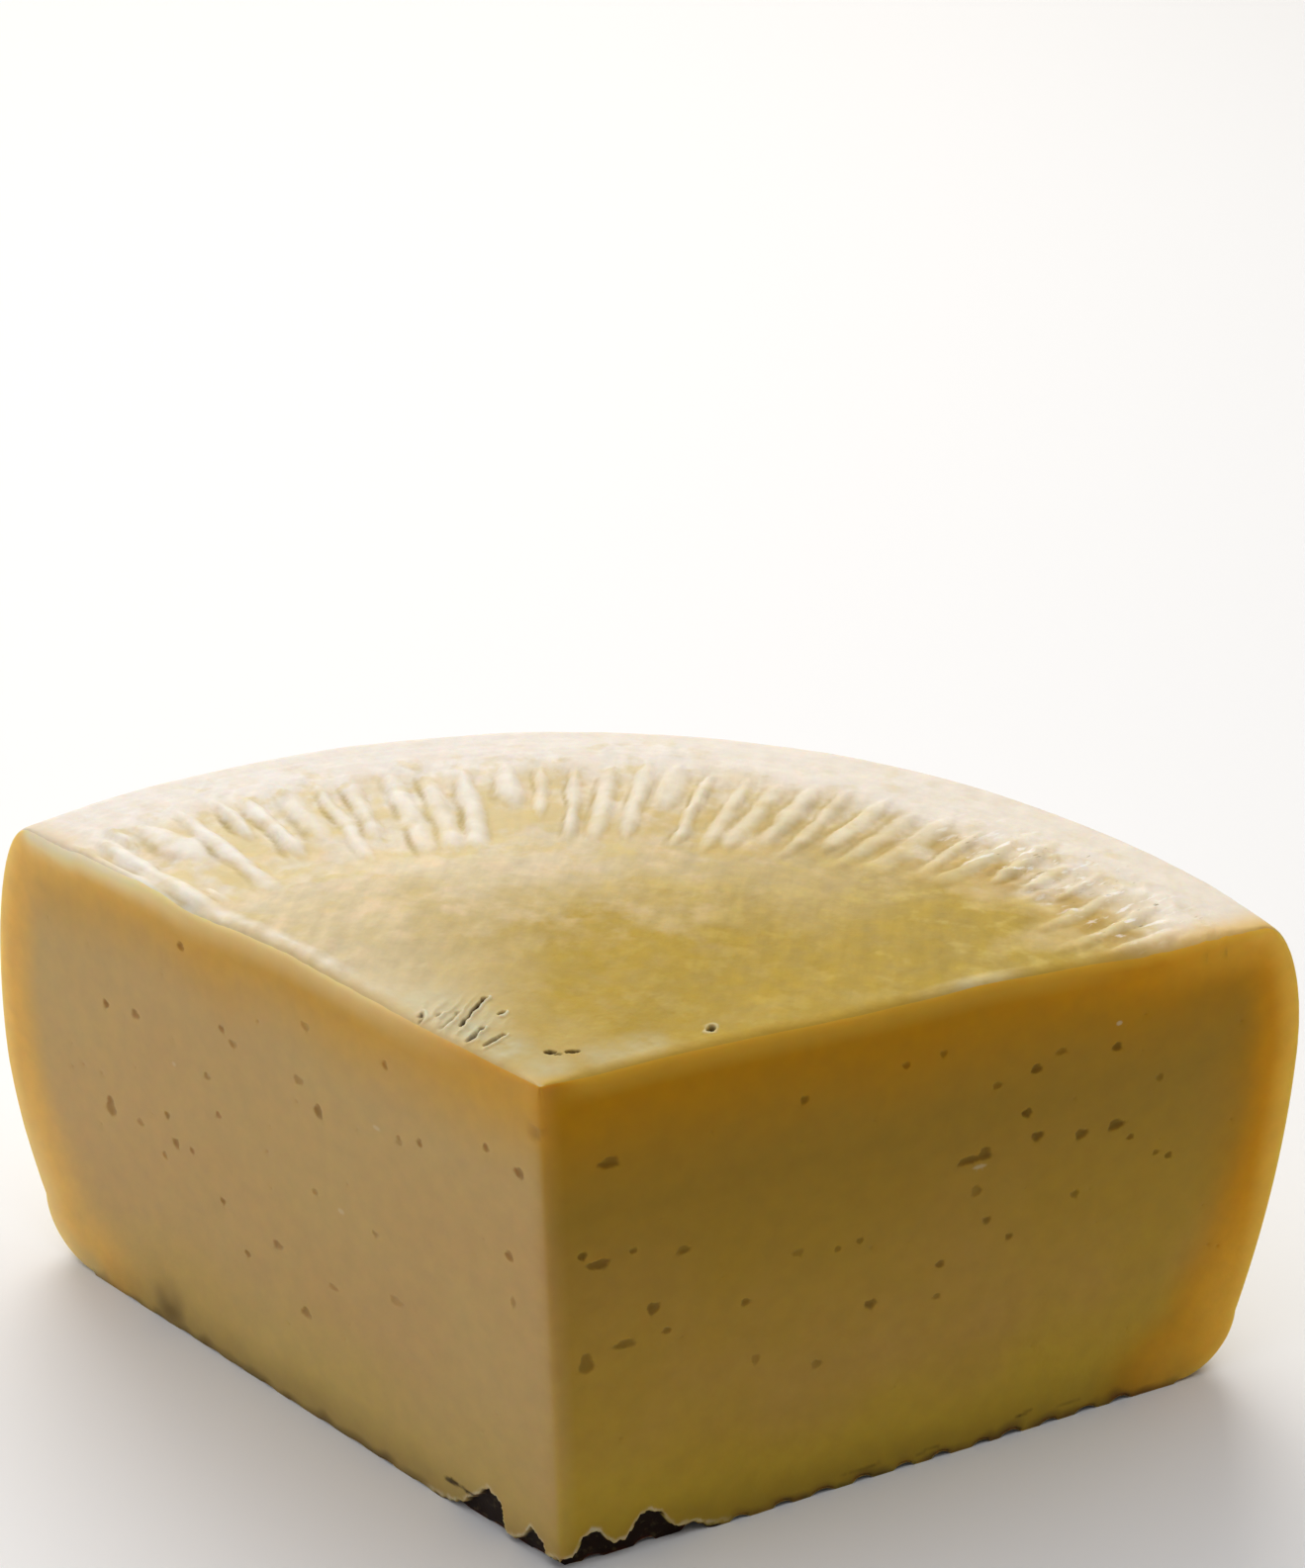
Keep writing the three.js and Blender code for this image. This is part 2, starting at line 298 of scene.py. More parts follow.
eyesRight = [
    (6.5, 44, 2.6, 4.2, 0.9), (12, 84, 3.9, 2.3, 0.9), (9.5, 64, 4.4, 1.9, 0.9),
    (6.5, 66.5, 1.8, 1.7, 0.8), (19.5, 52, 2.5, 2.5, 0.9), (37.5, 48, 2.0, 1.8, 0.6),
    (22, 46.5, 1.8, 1.5, 0.5), (14, 46, 4.2, 1.8, 0.7), (48, 55.5, 2.6, 1.5, 0.3),
    (63, 40, 2.7, 2.2, 0.9), (39.5, 35, 1.8, 2.2, 0.4), (52, 30, 2.2, 1.9, 0.5),
    (83, 65.5, 5.4, 1.7, 0.9), (86, 66, 2.8, 2.8, 1.0), (77.5, 44.5, 1.9, 1.7, 0.7),
    (94.5, 72.5, 2.2, 2.0, 1.0), (97, 67, 2.7, 2.2, 1.0), (106.5, 65, 2.8, 2.3, 0.9),
    (114, 65, 3.4, 2.5, 1.0), (117.5, 61.5, 1.7, 1.5, 0.5), (126.5, 55, 1.8, 1.6, 0.7),
    (106, 52, 2.0, 1.9, 0.6), (87, 51.5, 2.0, 1.8, 0.6), (92, 46.5, 1.8, 1.6, 0.6),
    (84.5, 58.5, 2.2, 2.4, 0.5), (96, 81.5, 2.3, 2.1, 0.9), (113, 82, 2.2, 2.0, 0.9),
    (69, 89, 1.7, 1.5, 0.5), (76.5, 89.5, 1.6, 1.5, 0.5), (49, 87, 1.8, 1.7, 0.6),
    (88, 80, 2.0, 1.5, 0.4), (25.5, 62.5, 2.7, 1.8, 0.6), (101, 84, 2.6, 1.6, 0.4),
    (123, 73, 1.7, 1.7, 0.4), (16, 65, 1.5, 1.3, 0.5), (60.5, 54.5, 1.6, 1.4, 0.4),
    (56, 54, 1.5, 1.4, 0.4), (123.5, 56.5, 1.5, 1.4, 0.4), (77, 37.5, 1.9, 1.4, 0.4),
]
# Pale crystals, the same way
crystalsLeft = [(54, 52.5, 2.2, 1.4, 0.4), (42.5, 75.5, 2.4, 1.2, 0.4), (100.5, 64.5, 1.5, 1.2, 0.35)]
crystalsRight = [(113, 87, 1.6, 1.2, 0.5), (85, 63.6, 3.4, 1.0, 0.4)]
eyes = {
    "depth": 0.65,
    "fineCount": 26,      # pinprick eyes scattered on each face
    "fineSize": (0.5, 1.2),
    "fineDark": 0.2,
    "fineRadii": (6, 142),
    "fineHeights": (10, 88),
    "seed": 5,
    "rings": (1.35, 1.1, 0.97, 0.85, 0.6, 0.3),  # rings of points round each eye, in its own size
    "fineRings": (1.15, 0.6),
}

# Short cracks and scratches low on the cut faces: start, end, half width, strength
marksLeft = [((22, 5.3), (29.2, 5.4), 0.3, 1.0), ((26.4, 5.5), (27.6, 5.6), 0.5, 1.0)]
marksRight = [((96.5, 4.0), (99.3, 4.6), 0.3, 0.8), ((105.5, 3.1), (110.5, 3.6), 0.25, 0.5),
              ((58, 2.6), (66, 2.9), 0.2, 0.5), ((74, 2.3), (79, 2.8), 0.2, 0.5)]


def across(pair, angle):  # value of a pair at an angle between the cuts
    return mix(pair[0], pair[1], ease(angle, -wheel["halfAngle"], wheel["halfAngle"]))


def flat(r, angle):
    return r * np.sin(np.radians(angle)), r * np.cos(np.radians(angle))


# The basket's ridges: those that show at both sides, and drawn ones between them
def ridgeTable():
    table = list(shownRidges)
    pitch, (thin, wide) = topFace["drawnPitch"], topFace["drawnWidth"]
    angle, n = -35.4, 0
    while angle < 34.5:
        skew = 1.2 * (draw(n + 10) - 0.5)
        inner = topFace["bandInner"] + 3 + 14 * draw(n + 60) + 8 * ease(angle, -10, 40)
        if draw(n + 30) > 0.82:
            inner += 12
        width = mix(thin, wide, draw(n + 90))
        table.append((angle, 125 + 5 * draw(n + 20), angle + skew, inner, width * 0.95, width * 1.1))
        angle += pitch * mix(0.86, 1.14, draw(n + 50))
        n += 1
    return table


ridges = ridgeTable()


# 1 on the crests, 0 between them; and a painted shade line in the crease beside each crest
def crestShare(r, angle):
    highest, creaseShade = np.zeros_like(r), np.zeros_like(r)
    for n, (angleOut, outer, angleIn, inner, widthOut, widthIn) in enumerate(ridges):
        along = np.clip((outer - r) / (outer - inner), 0, 1)
        wander = 0.35 * softNoise(r / 9, r * 0 + n, 3) + 0.2 * softNoise(r / 3.5, r * 0 + n, 6)
        width = mix(widthOut, widthIn, along) * (1 + 0.2 * softNoise(r / 6, r * 0 + n, 4))
        onSide = (np.radians(angle - mix(angleOut, angleIn, along)) * r + wander) / (width / 2)
        roundEnds = 0.25 + 0.75 * ease(outer - r, -2, 6) * ease(r - inner, -3, 7)
        tapered = np.abs(onSide) / np.maximum(roundEnds, 0.05)
        present = ease(outer - r, -2.5, 3) * ease(r - inner, -3, 6)
        crest = np.clip(1 - tapered ** 2, 0, 1) ** 0.85 * present
        crest = crest * (1 if n < len(shownRidges) else 0.62 + 0.38 * draw(n + 70))
        highest = np.maximum(highest, crest * (0.85 + 0.15 * softNoise(r / 4, angle / 3 + n, 5)))
        broken = 0.6 + 0.6 * softNoise(r / 7, r * 0 + n, 9)
        creaseShade = np.maximum(creaseShade, bell(onSide, -1.15, 0.3) * present * broken)
    return highest, np.clip(creaseShade * (1 - highest), 0, 1)


def bandShare(r, angle):
    wander = topFace["ragged"] * softNoise(angle / 4.5, angle * 0, 7)
    inner = topFace["bandInner"] + wander + topFace["shorterAtRight"] * ease(angle, 5, 45)
    outer = topFace["bandOuter"] + 0.7 * topFace["ragged"] * softNoise(angle / 3, angle * 0 + 5, 7)
    return ease(r, inner - 5, inner + 14) * (1 - ease(r, outer - 11, outer + 3))


def slitDistance(x, y, slit):
    (ax, ay), (bx, by) = slit[:2]
    dx, dy = bx - ax, by - ay
    t = np.clip(((x - ax) * dx + (y - ay) * dy) / (dx * dx + dy * dy), 0, 1)
    onRight = ((x - ax) * dy - (y - ay) * dx) / math.hypot(dx, dy)
    return np.hypot(x - ax - t * dx, y - ay - t * dy), t, onRight


def slitRelief(r, angle):
    x, y = flat(r, angle)
    x, y = x + 0.25 * softNoise(x / 1.3, y / 1.3, 8), y + 0.25 * softNoise(x / 1.3, y / 1.3, 9)
    relief, dark, pale = np.zeros_like(r), np.zeros_like(r), np.zeros_like(r)
    for n, slit in enumerate(topSlits):
        away, t, onRight = slitDistance(x, y, slit)
        wide = slit[2] * (0.65 + 0.35 * np.sin(math.pi * t))
        wide = wide * (1.1 + 0.4 * softNoise(x / 0.9, y / 0.9, 50 + n))
        relief -= slit[3] * (1 - ease(away, wide * 0.5, wide + 0.3))
        dark = np.maximum(dark, slit[4] * (1 - ease(away, wide * 0.8, wide + 0.25)))
        if n < slitLips["count"] or n == slitLips["ring"]:
            rib = bell(away, slitLips["away"], slitLips["width"])
            rib = rib * (ease(onRight, 0.1, 0.6) if n < slitLips["count"] else 0.6)
            pale = np.maximum(pale, rib * (0.75 + 0.4 * softNoise(x / 2, y / 2, 60 + n)))
    turn = math.radians(slitLips["foldTurn"])
    aside = x * math.cos(turn) - y * math.sin(turn) + 0.9 * softNoise(x / 4, y / 4, 48)
    folds = np.sin(2 * math.pi * aside / slitLips["foldPitch"]) * (0.6 + 0.5 * softNoise(x / 3, y / 5, 49))
    folds = folds * (1 - ease(np.hypot(x + 18, y - 18.5), 4, 11))
    relief += slitLips["foldHeight"] * folds
    pale = np.maximum(pale, 0.5 * np.clip(folds, 0, 1))
    return relief + slitLips["height"] * pale, dark, pale


def bloomShare(r, angle):
    x, y = flat(r, angle)
    bloom = np.zeros_like(r)
    for (bx, by), radius, strength in blooms:
        away = np.hypot(x - bx, y - by)
        bloom = np.maximum(bloom, strength * (1 - ease(away, 0.2 * radius, 1.15 * radius)))
    patchy = 0.75 + 0.35 * softNoise(x / 3, y / 3, 15) + 0.25 * softNoise(x / 1.3, y / 1.3, 16)
    return np.clip(0.8 * bloom * patchy, 0, 1)


def streakRelief(r, angle):
    x, y = flat(r, angle)
    turn = math.radians(topFace["streakTurn"])
    aside = x * math.cos(turn) - y * math.sin(turn) + 1.4 * softNoise(x / 11, y / 11, 11)
    along = x * math.sin(turn) + y * math.cos(turn)
    line = softNoise(aside / topFace["streakPitch"], along / 9, 12) + 0.5 * softNoise(aside, along / 5, 13)
    where = ease(r, 20, 42) * (1 - ease(r, 84, 98)) * mix(1, 0.4, ease(angle, -35, 10))
    return topFace["streakDepth"] * line * where


def topHeight(r, angle):
    top = topFace
    outward = r / across(wheel["topEdgeRadius"], angle)
    crown = mix(wheel["crownHeight"], wheel["topEdgeHeight"], outward ** 2)
    waves = np.sin(r / 17 + angle / 19) * np.sin(angle / 11 - r / 29)
    uneven = top["uneven"] * waves * ease(r, 4, 30) * (1 - ease(r, 133, 142))
    swell = top["swellHeight"] * bell(r, top["swellRadius"], top["swellWidth"]) * (1 - ease(angle, -45, 5))
    x, y = flat(r, angle)
    size = top["lumpSize"]
    lumps = softNoise(x / size, y / size, 21) + 0.4 * softNoise(x / size * 2.3, y / size * 2.3, 22)
    lumps = lumps * top["lumpHeight"] * ease(r, 6, 20) * (1 - 0.7 * ease(r, 130, 142))
    crest, band = crestShare(r, angle)[0], bandShare(r, angle)
    depth = across(top["valleyDepth"], angle) * (0.9 + 0.3 * softNoise(angle / 2.2, r / 14, 17))
    height = across(top["crestHeight"], angle) * (0.9 + 0.25 * softNoise(angle / 4, r / 30, 20))
    cord = 0.2 * softNoise(angle * 1.4, r / 9, 18) * band
    ridged = height * crest * ease(r, 84, 96) - depth * band * (1 - crest) + cord
    wavy = r + 1.3 * softNoise(angle / 7, r / 9, 19)
    lines = top["rimLineDepth"] * np.sin(2 * math.pi * wavy / top["rimLinePitch"])
    lines = lines * ease(r, 128, 133) * (1 - ease(r, 140, 142))
    torn = np.maximum(softNoise(x / 1.9, y / 2.6, 23) - 0.25, 0) * top["tornHeight"]
    torn = torn * ease(angle, 24, 34) * ease(r, 108, 116) * (1 - ease(r, 133, 138))
    return crown + uneven + swell + lumps + streakRelief(r, angle) + ridged + lines + torn


# The base: ring grooves in a slightly uneven face
def baseHeight(r, angle):
    # dark round the tip and in the grooves: dark rind with painted shade
    z, dark = np.zeros_like(r), 1 - ease(r, 26, baseFace["nearTip"])
    wobble = 0.3 * softNoise(r / 3, angle / 5, 32) * ease(r, 3, 9)
    for radius in baseFace["rings"]:
        away = np.abs(r + wobble - radius) / baseFace["ringHalfWidth"]
        depth = across(baseFace["ringDepth"], angle) * (1 + 0.25 * softNoise(angle / 6, r * 0 + radius, 33))
        arch = np.sqrt(np.clip(1 - away ** 2, 0, 1))
        z = np.maximum(z, depth * arch)
        dark = np.maximum(dark, ease(arch, 0, 0.6))
    return z, dark


def place(r, angle, z):
    lean = wheel["edgeLean"] * (0.5 - z / wheel["crownHeight"]) * (1 - r / wheel["leanEnds"])
    x, y = flat(r, angle)
    return np.stack([x + lean, y, z], -1)


# The skin in rows, from the middle of the top over the shoulder and down, then in to the base's middle

zoneTop, zoneSide, zoneBase, zonePaste = 0, 1, 2, 3
topLooks = ("dark", "crest", "creaseShade", "valley", "bloom", "torn", "nearCut")
cloud = {name: [] for name in ("r", "angle", "z", "zone", "hollow") + topLooks}
rows, triangles, triangleZones = [], [], []


def addPoints(zone, r, angle, z, **looks):
    start, none = len(cloud["r"]), np.zeros(len(r))
    looks.update(r=r, angle=angle, z=z, zone=np.full(len(r), zone))
    for name in cloud:
        cloud[name].extend(looks.get(name, none))
    return np.arange(start, start + len(r))


def cloudAt(name, ids):
    return np.array([cloud[name][k] for k in ids])


def profileAt(ids):
    return np.stack([cloudAt("r", ids), cloudAt("z", ids)], 1)


# A rounded edge bends at two columns: shares of its radius that they lie from the edge and sink
edgeBend, edgeBendSink, edgeSink = 0.62, 0.076, 0.293


def edgeRound(r, z):
    atHeel = np.maximum(ease(r, 128, 148), 1 - ease(z, 60, 90))
    return np.minimum(mix(*wheel["cutRound"], atHeel), 0.3 * r)


def rowAngles(radius, step):
    half = wheel["halfAngle"]
    arc = math.radians(2 * half) * radius
    close = math.degrees(edgeRound(radius, 100) / radius)
    inside = np.linspace(-half + close, half - close, max(4, math.ceil(arc / step)))
    return np.concatenate([[-half, -half + edgeBend * close], inside, [half - edgeBend * close, half]])


def zipRows(rowA, rowB, zone):
    anglesA, anglesB = cloudAt("angle", rowA), cloudAt("angle", rowB)
    i = j = 0
    while i < len(rowA) - 1 or j < len(rowB) - 1:
        nextA = anglesA[i + 1] if i < len(rowA) - 1 else math.inf
        nextB = anglesB[j + 1] if j < len(rowB) - 1 else math.inf
        if nextB <= nextA:
            triangles.append((rowA[i], rowB[j + 1], rowB[j]))
            j += 1
        else:
            triangles.append((rowA[i], rowA[i + 1], rowB[j]))
            i += 1
        triangleZones.append(zone)


def awayFromCuts(r, angle):
    return r * np.sin(np.radians(wheel["halfAngle"] - np.abs(angle)))


# Along the left cut the rind has a pale lip with a painted highlight at the very edge, at the right one a
# pale fold, and both take the paste's tint with painted light on the rounded edges
def besideCuts(r, angle):
    fromLeft, fromRight = ((wheel["halfAngle"] + way * angle) * r * math.pi / 180 for way in (1, -1))
    lipAndHighlight = np.maximum(bell(fromLeft, 3.2, 1.8), ease(r, 85, 105) * (1 - ease(fromLeft, 0.5, 3)))
    lipAndHighlight = 0.7 * lipAndHighlight * ease(r, 30, 60) * (0.7 + 0.4 * softNoise(r / 3, angle, 24))
    fold = bell(r, 83, 11) * (1 - ease(fromRight, 1.5, 5))
    onLeft = np.maximum(0.6 * (1 - ease(r, 45, 95)), 0.45 * ease(r, 104, 122))
    near = 1 - ease(awayFromCuts(r, angle), -0.4, mix(4.2, 9.0, ease(r, 112, 132)))
    return lipAndHighlight, fold, np.where(angle < 0, onLeft, 0.9) * near * (1 - 0.75 * fold)


def addTopRows():
    one = np.zeros(1)
    rows.append((addPoints(zoneTop, one, one, one + wheel["crownHeight"], bloom=one + 0.4), zoneTop))
    r, edge = 1.25, max(wheel["topEdgeRadius"])
    while r < edge - 0.4 * meshSteps["top"]:
        nearest, farthest = meshSteps["tipRadii"]
        step = meshSteps["tipOfTop"] if nearest < r < farthest else meshSteps["top"]
        angles = rowAngles(r, step)
        radii = np.full(len(angles), r) * across(wheel["topEdgeRadius"], angles) / edge
        relief, dark, pale = slitRelief(radii, angles)
        band, (crest, creaseShade) = bandShare(radii, angles), crestShare(radii, angles)
        bloom = np.maximum(bloomShare(radii, angles), 0.9 * pale)
        out = wheel["outOfRound"] * outOfRound(angles) * ease(radii, 133, edge)
        lipAndHighlight, fold, tint = besideCuts(radii, angles)
        z = topHeight(radii, angles) + relief * ease(awayFromCuts(radii, angles), 0.3, 2.2) + 0.25 * fold
        # the lip's painted edge highlight is drawn in the crest colour
        pale = np.max([crest * band, lipAndHighlight, 0.75 * pale, 0.75 * fold], 0)
        looks = {"dark": dark, "crest": pale, "creaseShade": creaseShade * band, "valley": band * (1 - crest),
                 "bloom": bloom, "nearCut": tint,
                 "torn": ease(angles, 22, 34) * ease(radii, 110, 120) * (1 - ease(radii, 131, 139))}
        rows.append((addPoints(zoneTop, radii + out, angles, z, **looks), zoneTop))
        r += step


def outOfRound(angle):
    return np.sin(np.radians(3.1 * angle + 40)) * np.cos(np.radians(angle)) ** 2


def sideRelief(angle, z):
    turn = angle / sideFace["ribPitch"] + 0.25 * softNoise(z / 22, angle / 9, 91)
    rib = np.abs(np.sin(math.pi * turn)) ** 1.4 * (0.6 + 0.5 * softNoise(z / 14, np.floor(turn) * 1.7, 92))
    lumps = softNoise(angle / 3.4, z / 9, 93) + 0.5 * softNoise(angle / 1.5, z / 4, 94)
    ribs = sideFace["ribHeight"] * rib * ease(z, 16, 30) * (1 - ease(z, 78, 94))
    inside = ease(wheel["halfAngle"] - np.abs(angle), *sideFace["plainAtCut"])
    return (ribs + sideFace["lumpHeight"] * lumps) * inside * ease(z, 2, 9) * (1 - ease(z, 93, 98))


def addSideRow(profile):
    angles = rowAngles(max(wheel["bulgeRadius"]), meshSteps["side"])
    names = ("topEdgeRadius", "bulgeRadius", "footRadius", "bulgeHeight")
    r, z = profile(*(across(wheel[name], angles) for name in names))
    out = wheel["outOfRound"] * outOfRound(angles) + sideRelief(angles, z)
    # near the cuts the side takes the edge colour: the paste's tint with painted light
    nearCut = np.where(angles < 0, 0.45, 0.9) * (1 - ease(awayFromCuts(r, angles), -0.4, 9))
    rows.append((addPoints(zoneSide, r + out, angles, z, nearCut=nearCut), zoneSide))


def addSideRows():
    high, low, base = wheel["topEdgeHeight"], wheel["footHeight"], wheel["baseRadius"]
    shoulder, heel, foot = meshSteps["sideRows"]
    for turn in np.radians(90 * np.linspace(0, 1, shoulder) ** 1.5):
        s, c = math.sin(turn), math.cos(turn)
        addSideRow(lambda edge, bulge, foot, middle: (mix(edge, bulge, s), mix(middle, high, c)))
    for down in np.linspace(0, 1, heel)[1:]:
        addSideRow(lambda edge, bulge, foot, middle: (mix(bulge, foot, down ** 2), mix(middle, low, down)))
    for turn in np.radians(np.linspace(0, 90, foot)[1:]):
        s, c = math.sin(turn), math.cos(turn)
        addSideRow(lambda edge, bulge, foot, middle: (mix(base, foot, c), foot * 0 + low * (1 - s)))


def addBaseRows():
    radius = wheel["baseRadius"] - 1.0
    while radius > 0.6:
        nearTip = radius < baseFace["nearTip"]
        angles = rowAngles(radius, meshSteps["tipOfBase" if nearTip else "alongGrooves"])
        radii = np.full(len(angles), radius)
        z, dark = baseHeight(radii, angles)
        out = wheel["outOfRound"] * outOfRound(angles) * ease(radii, 127, wheel["baseRadius"])
        hollow = 1 - ease(radii, *baseFace["hollowEnds"])
        rows.append((addPoints(zoneBase, radii + out, angles, z, dark=dark, hollow=hollow), zoneBase))
        radius -= meshSteps["grooves"] if nearTip else meshSteps["base"]
    one = np.zeros(1)
    rows.append((addPoints(zoneBase, one, one, one, dark=one + 1, hollow=one + 1), zoneBase))


addTopRows()
addSideRows()
addBaseRows()
for (rowA, zoneA), (rowB, zoneB) in zip(rows, rows[1:]):
    zipRows(rowA, rowB, max(zoneA, zoneB))
print("skin:", len(cloud["r"]), "points in", len(rows), "rows")


# The two cut faces: a rounded rim, then a net of triangles that is finer round each eye

def insetOf(outline, distances):
    ahead, behind = np.roll(outline, -1, 0), np.roll(outline, 1, 0)
    first, second = outline - behind, ahead - outline
    normals = []
    for edge in (first, second):
        edge = edge / np.maximum(np.linalg.norm(edge, axis=1, keepdims=True), 1e-9)
        normals.append(np.stack([edge[:, 1], -edge[:, 0]], 1))
    inward = normals[0] + normals[1]
    inward /= np.maximum(np.linalg.norm(inward, axis=1, keepdims=True), 0.3)
    return outline + inward * distances[:, None]


def distanceTo(points, outline):
    nearest = np.full(len(points), 1e9)
    for a, b in zip(outline, outline[1:]):
        line = b - a
        t = np.clip(((points - a) @ line) / max(line @ line, 1e-12), 0, 1)
        nearest = np.minimum(nearest, np.linalg.norm(points - a - t[:, None] * line, axis=1))
    return nearest


def insideOf(points, outline):
    inside = np.zeros(len(points), bool)
    for a, b in zip(outline, np.roll(outline, -1, 0)):
        crosses = (a[1] > points[:, 1]) != (b[1] > points[:, 1])
        with np.errstate(divide="ignore", invalid="ignore"):
            at = (b[0] - a[0]) * (points[:, 1] - a[1]) / (b[1] - a[1]) + a[0]
        inside ^= crosses & (points[:, 0] < at)
    return inside


def allEyes(listed, side):
    found, rng = list(listed), np.random.default_rng(eyes["seed"] + side)
    while len(found) < len(listed) + eyes["fineCount"]:
        r, z = rng.uniform(*eyes["fineRadii"]), rng.uniform(*eyes["fineHeights"])
        size = mix(*eyes["fineSize"], rng.random() ** 2)
        tall = size * rng.uniform(0.7, 1.3)
        apart = all(math.hypot(r - e[0], z - e[1]) > 1.1 * (size + max(e[2], e[3])) for e in found)
        if apart:
            found.append((r, z, size, tall, eyes["fineDark"]))
    return found


def eyeNet(found):
    net = []
    for r, z, width, tall, strength in found:
        rings = eyes["fineRings"] if width < 1.3 and strength < 0.3 else eyes["rings"]
        count = int(np.clip(math.pi * (width + tall) / 2 / 0.55, 7, 20))
        turns = np.arange(count) * 2 * math.pi / count
        for out in rings:
            aside, up = out * width / 2 * np.cos(turns), out * tall / 2 * np.sin(turns)
            net.append(np.stack([r + aside, z + up], 1))
        net.append(np.array([[r, z]]))
    return np.concatenate(net)


def pitDepth(points, found, side):
    depth, pit = np.zeros(len(points)), np.zeros(len(points))
    for n, (r, z, width, tall, strength) in enumerate(found):
        x, y = (points[:, 0] - r) / (width / 2), (points[:, 1] - z) / (tall / 2)
        turn = np.arctan2(y, x)
        out = np.hypot(x, y) * (1 + 0.12 * np.sin(3 * turn + n) + 0.08 * np.sin(5 * turn + 2 * n))
        deep = min(eyes["depth"], 0.45 * (width + tall) / 2) * mix(0.3, 1, strength)
        depth = np.maximum(depth, deep * np.sqrt(np.clip(1 - out ** 2, 0, 1)))
        pit = np.maximum(pit, strength * (1 - ease(out, 0.75, 1.2)))
    return depth, pit


faceLooks = ("offset", "pit", "cured", "amberAndBacklight", "backlightGlow", "olive",
             "darkLow", "rim", "crustAndShade", "pale", "right", "under")
faceData = {name: {} for name in faceLooks}

# How far and how strongly the paste is cured under the rind, and how far the painted glow of backlight
# through the thin paste reaches, at the left and at the right cut
curing = {
    "underTop": (24.0, 28.752),
    "underHeel": (15.0, 24.0),
    "backlightGlowDepth": (5.0, 7.0),
    "lowHeelBacklightGlow": (0.3, 0.6),
    "olive": (0.5, 1.0),
    "arches": (0.3, 0.8),  # dark crust with painted shade where the base's grooves reach the cut
}
# Brown smudges low on the left cut: middle, both half widths, strength
smudges = [((108.5, 2.0), 5.0, 8.0, 1.0), ((120.5, 1.0), 4.0, 4.0, 0.6)]


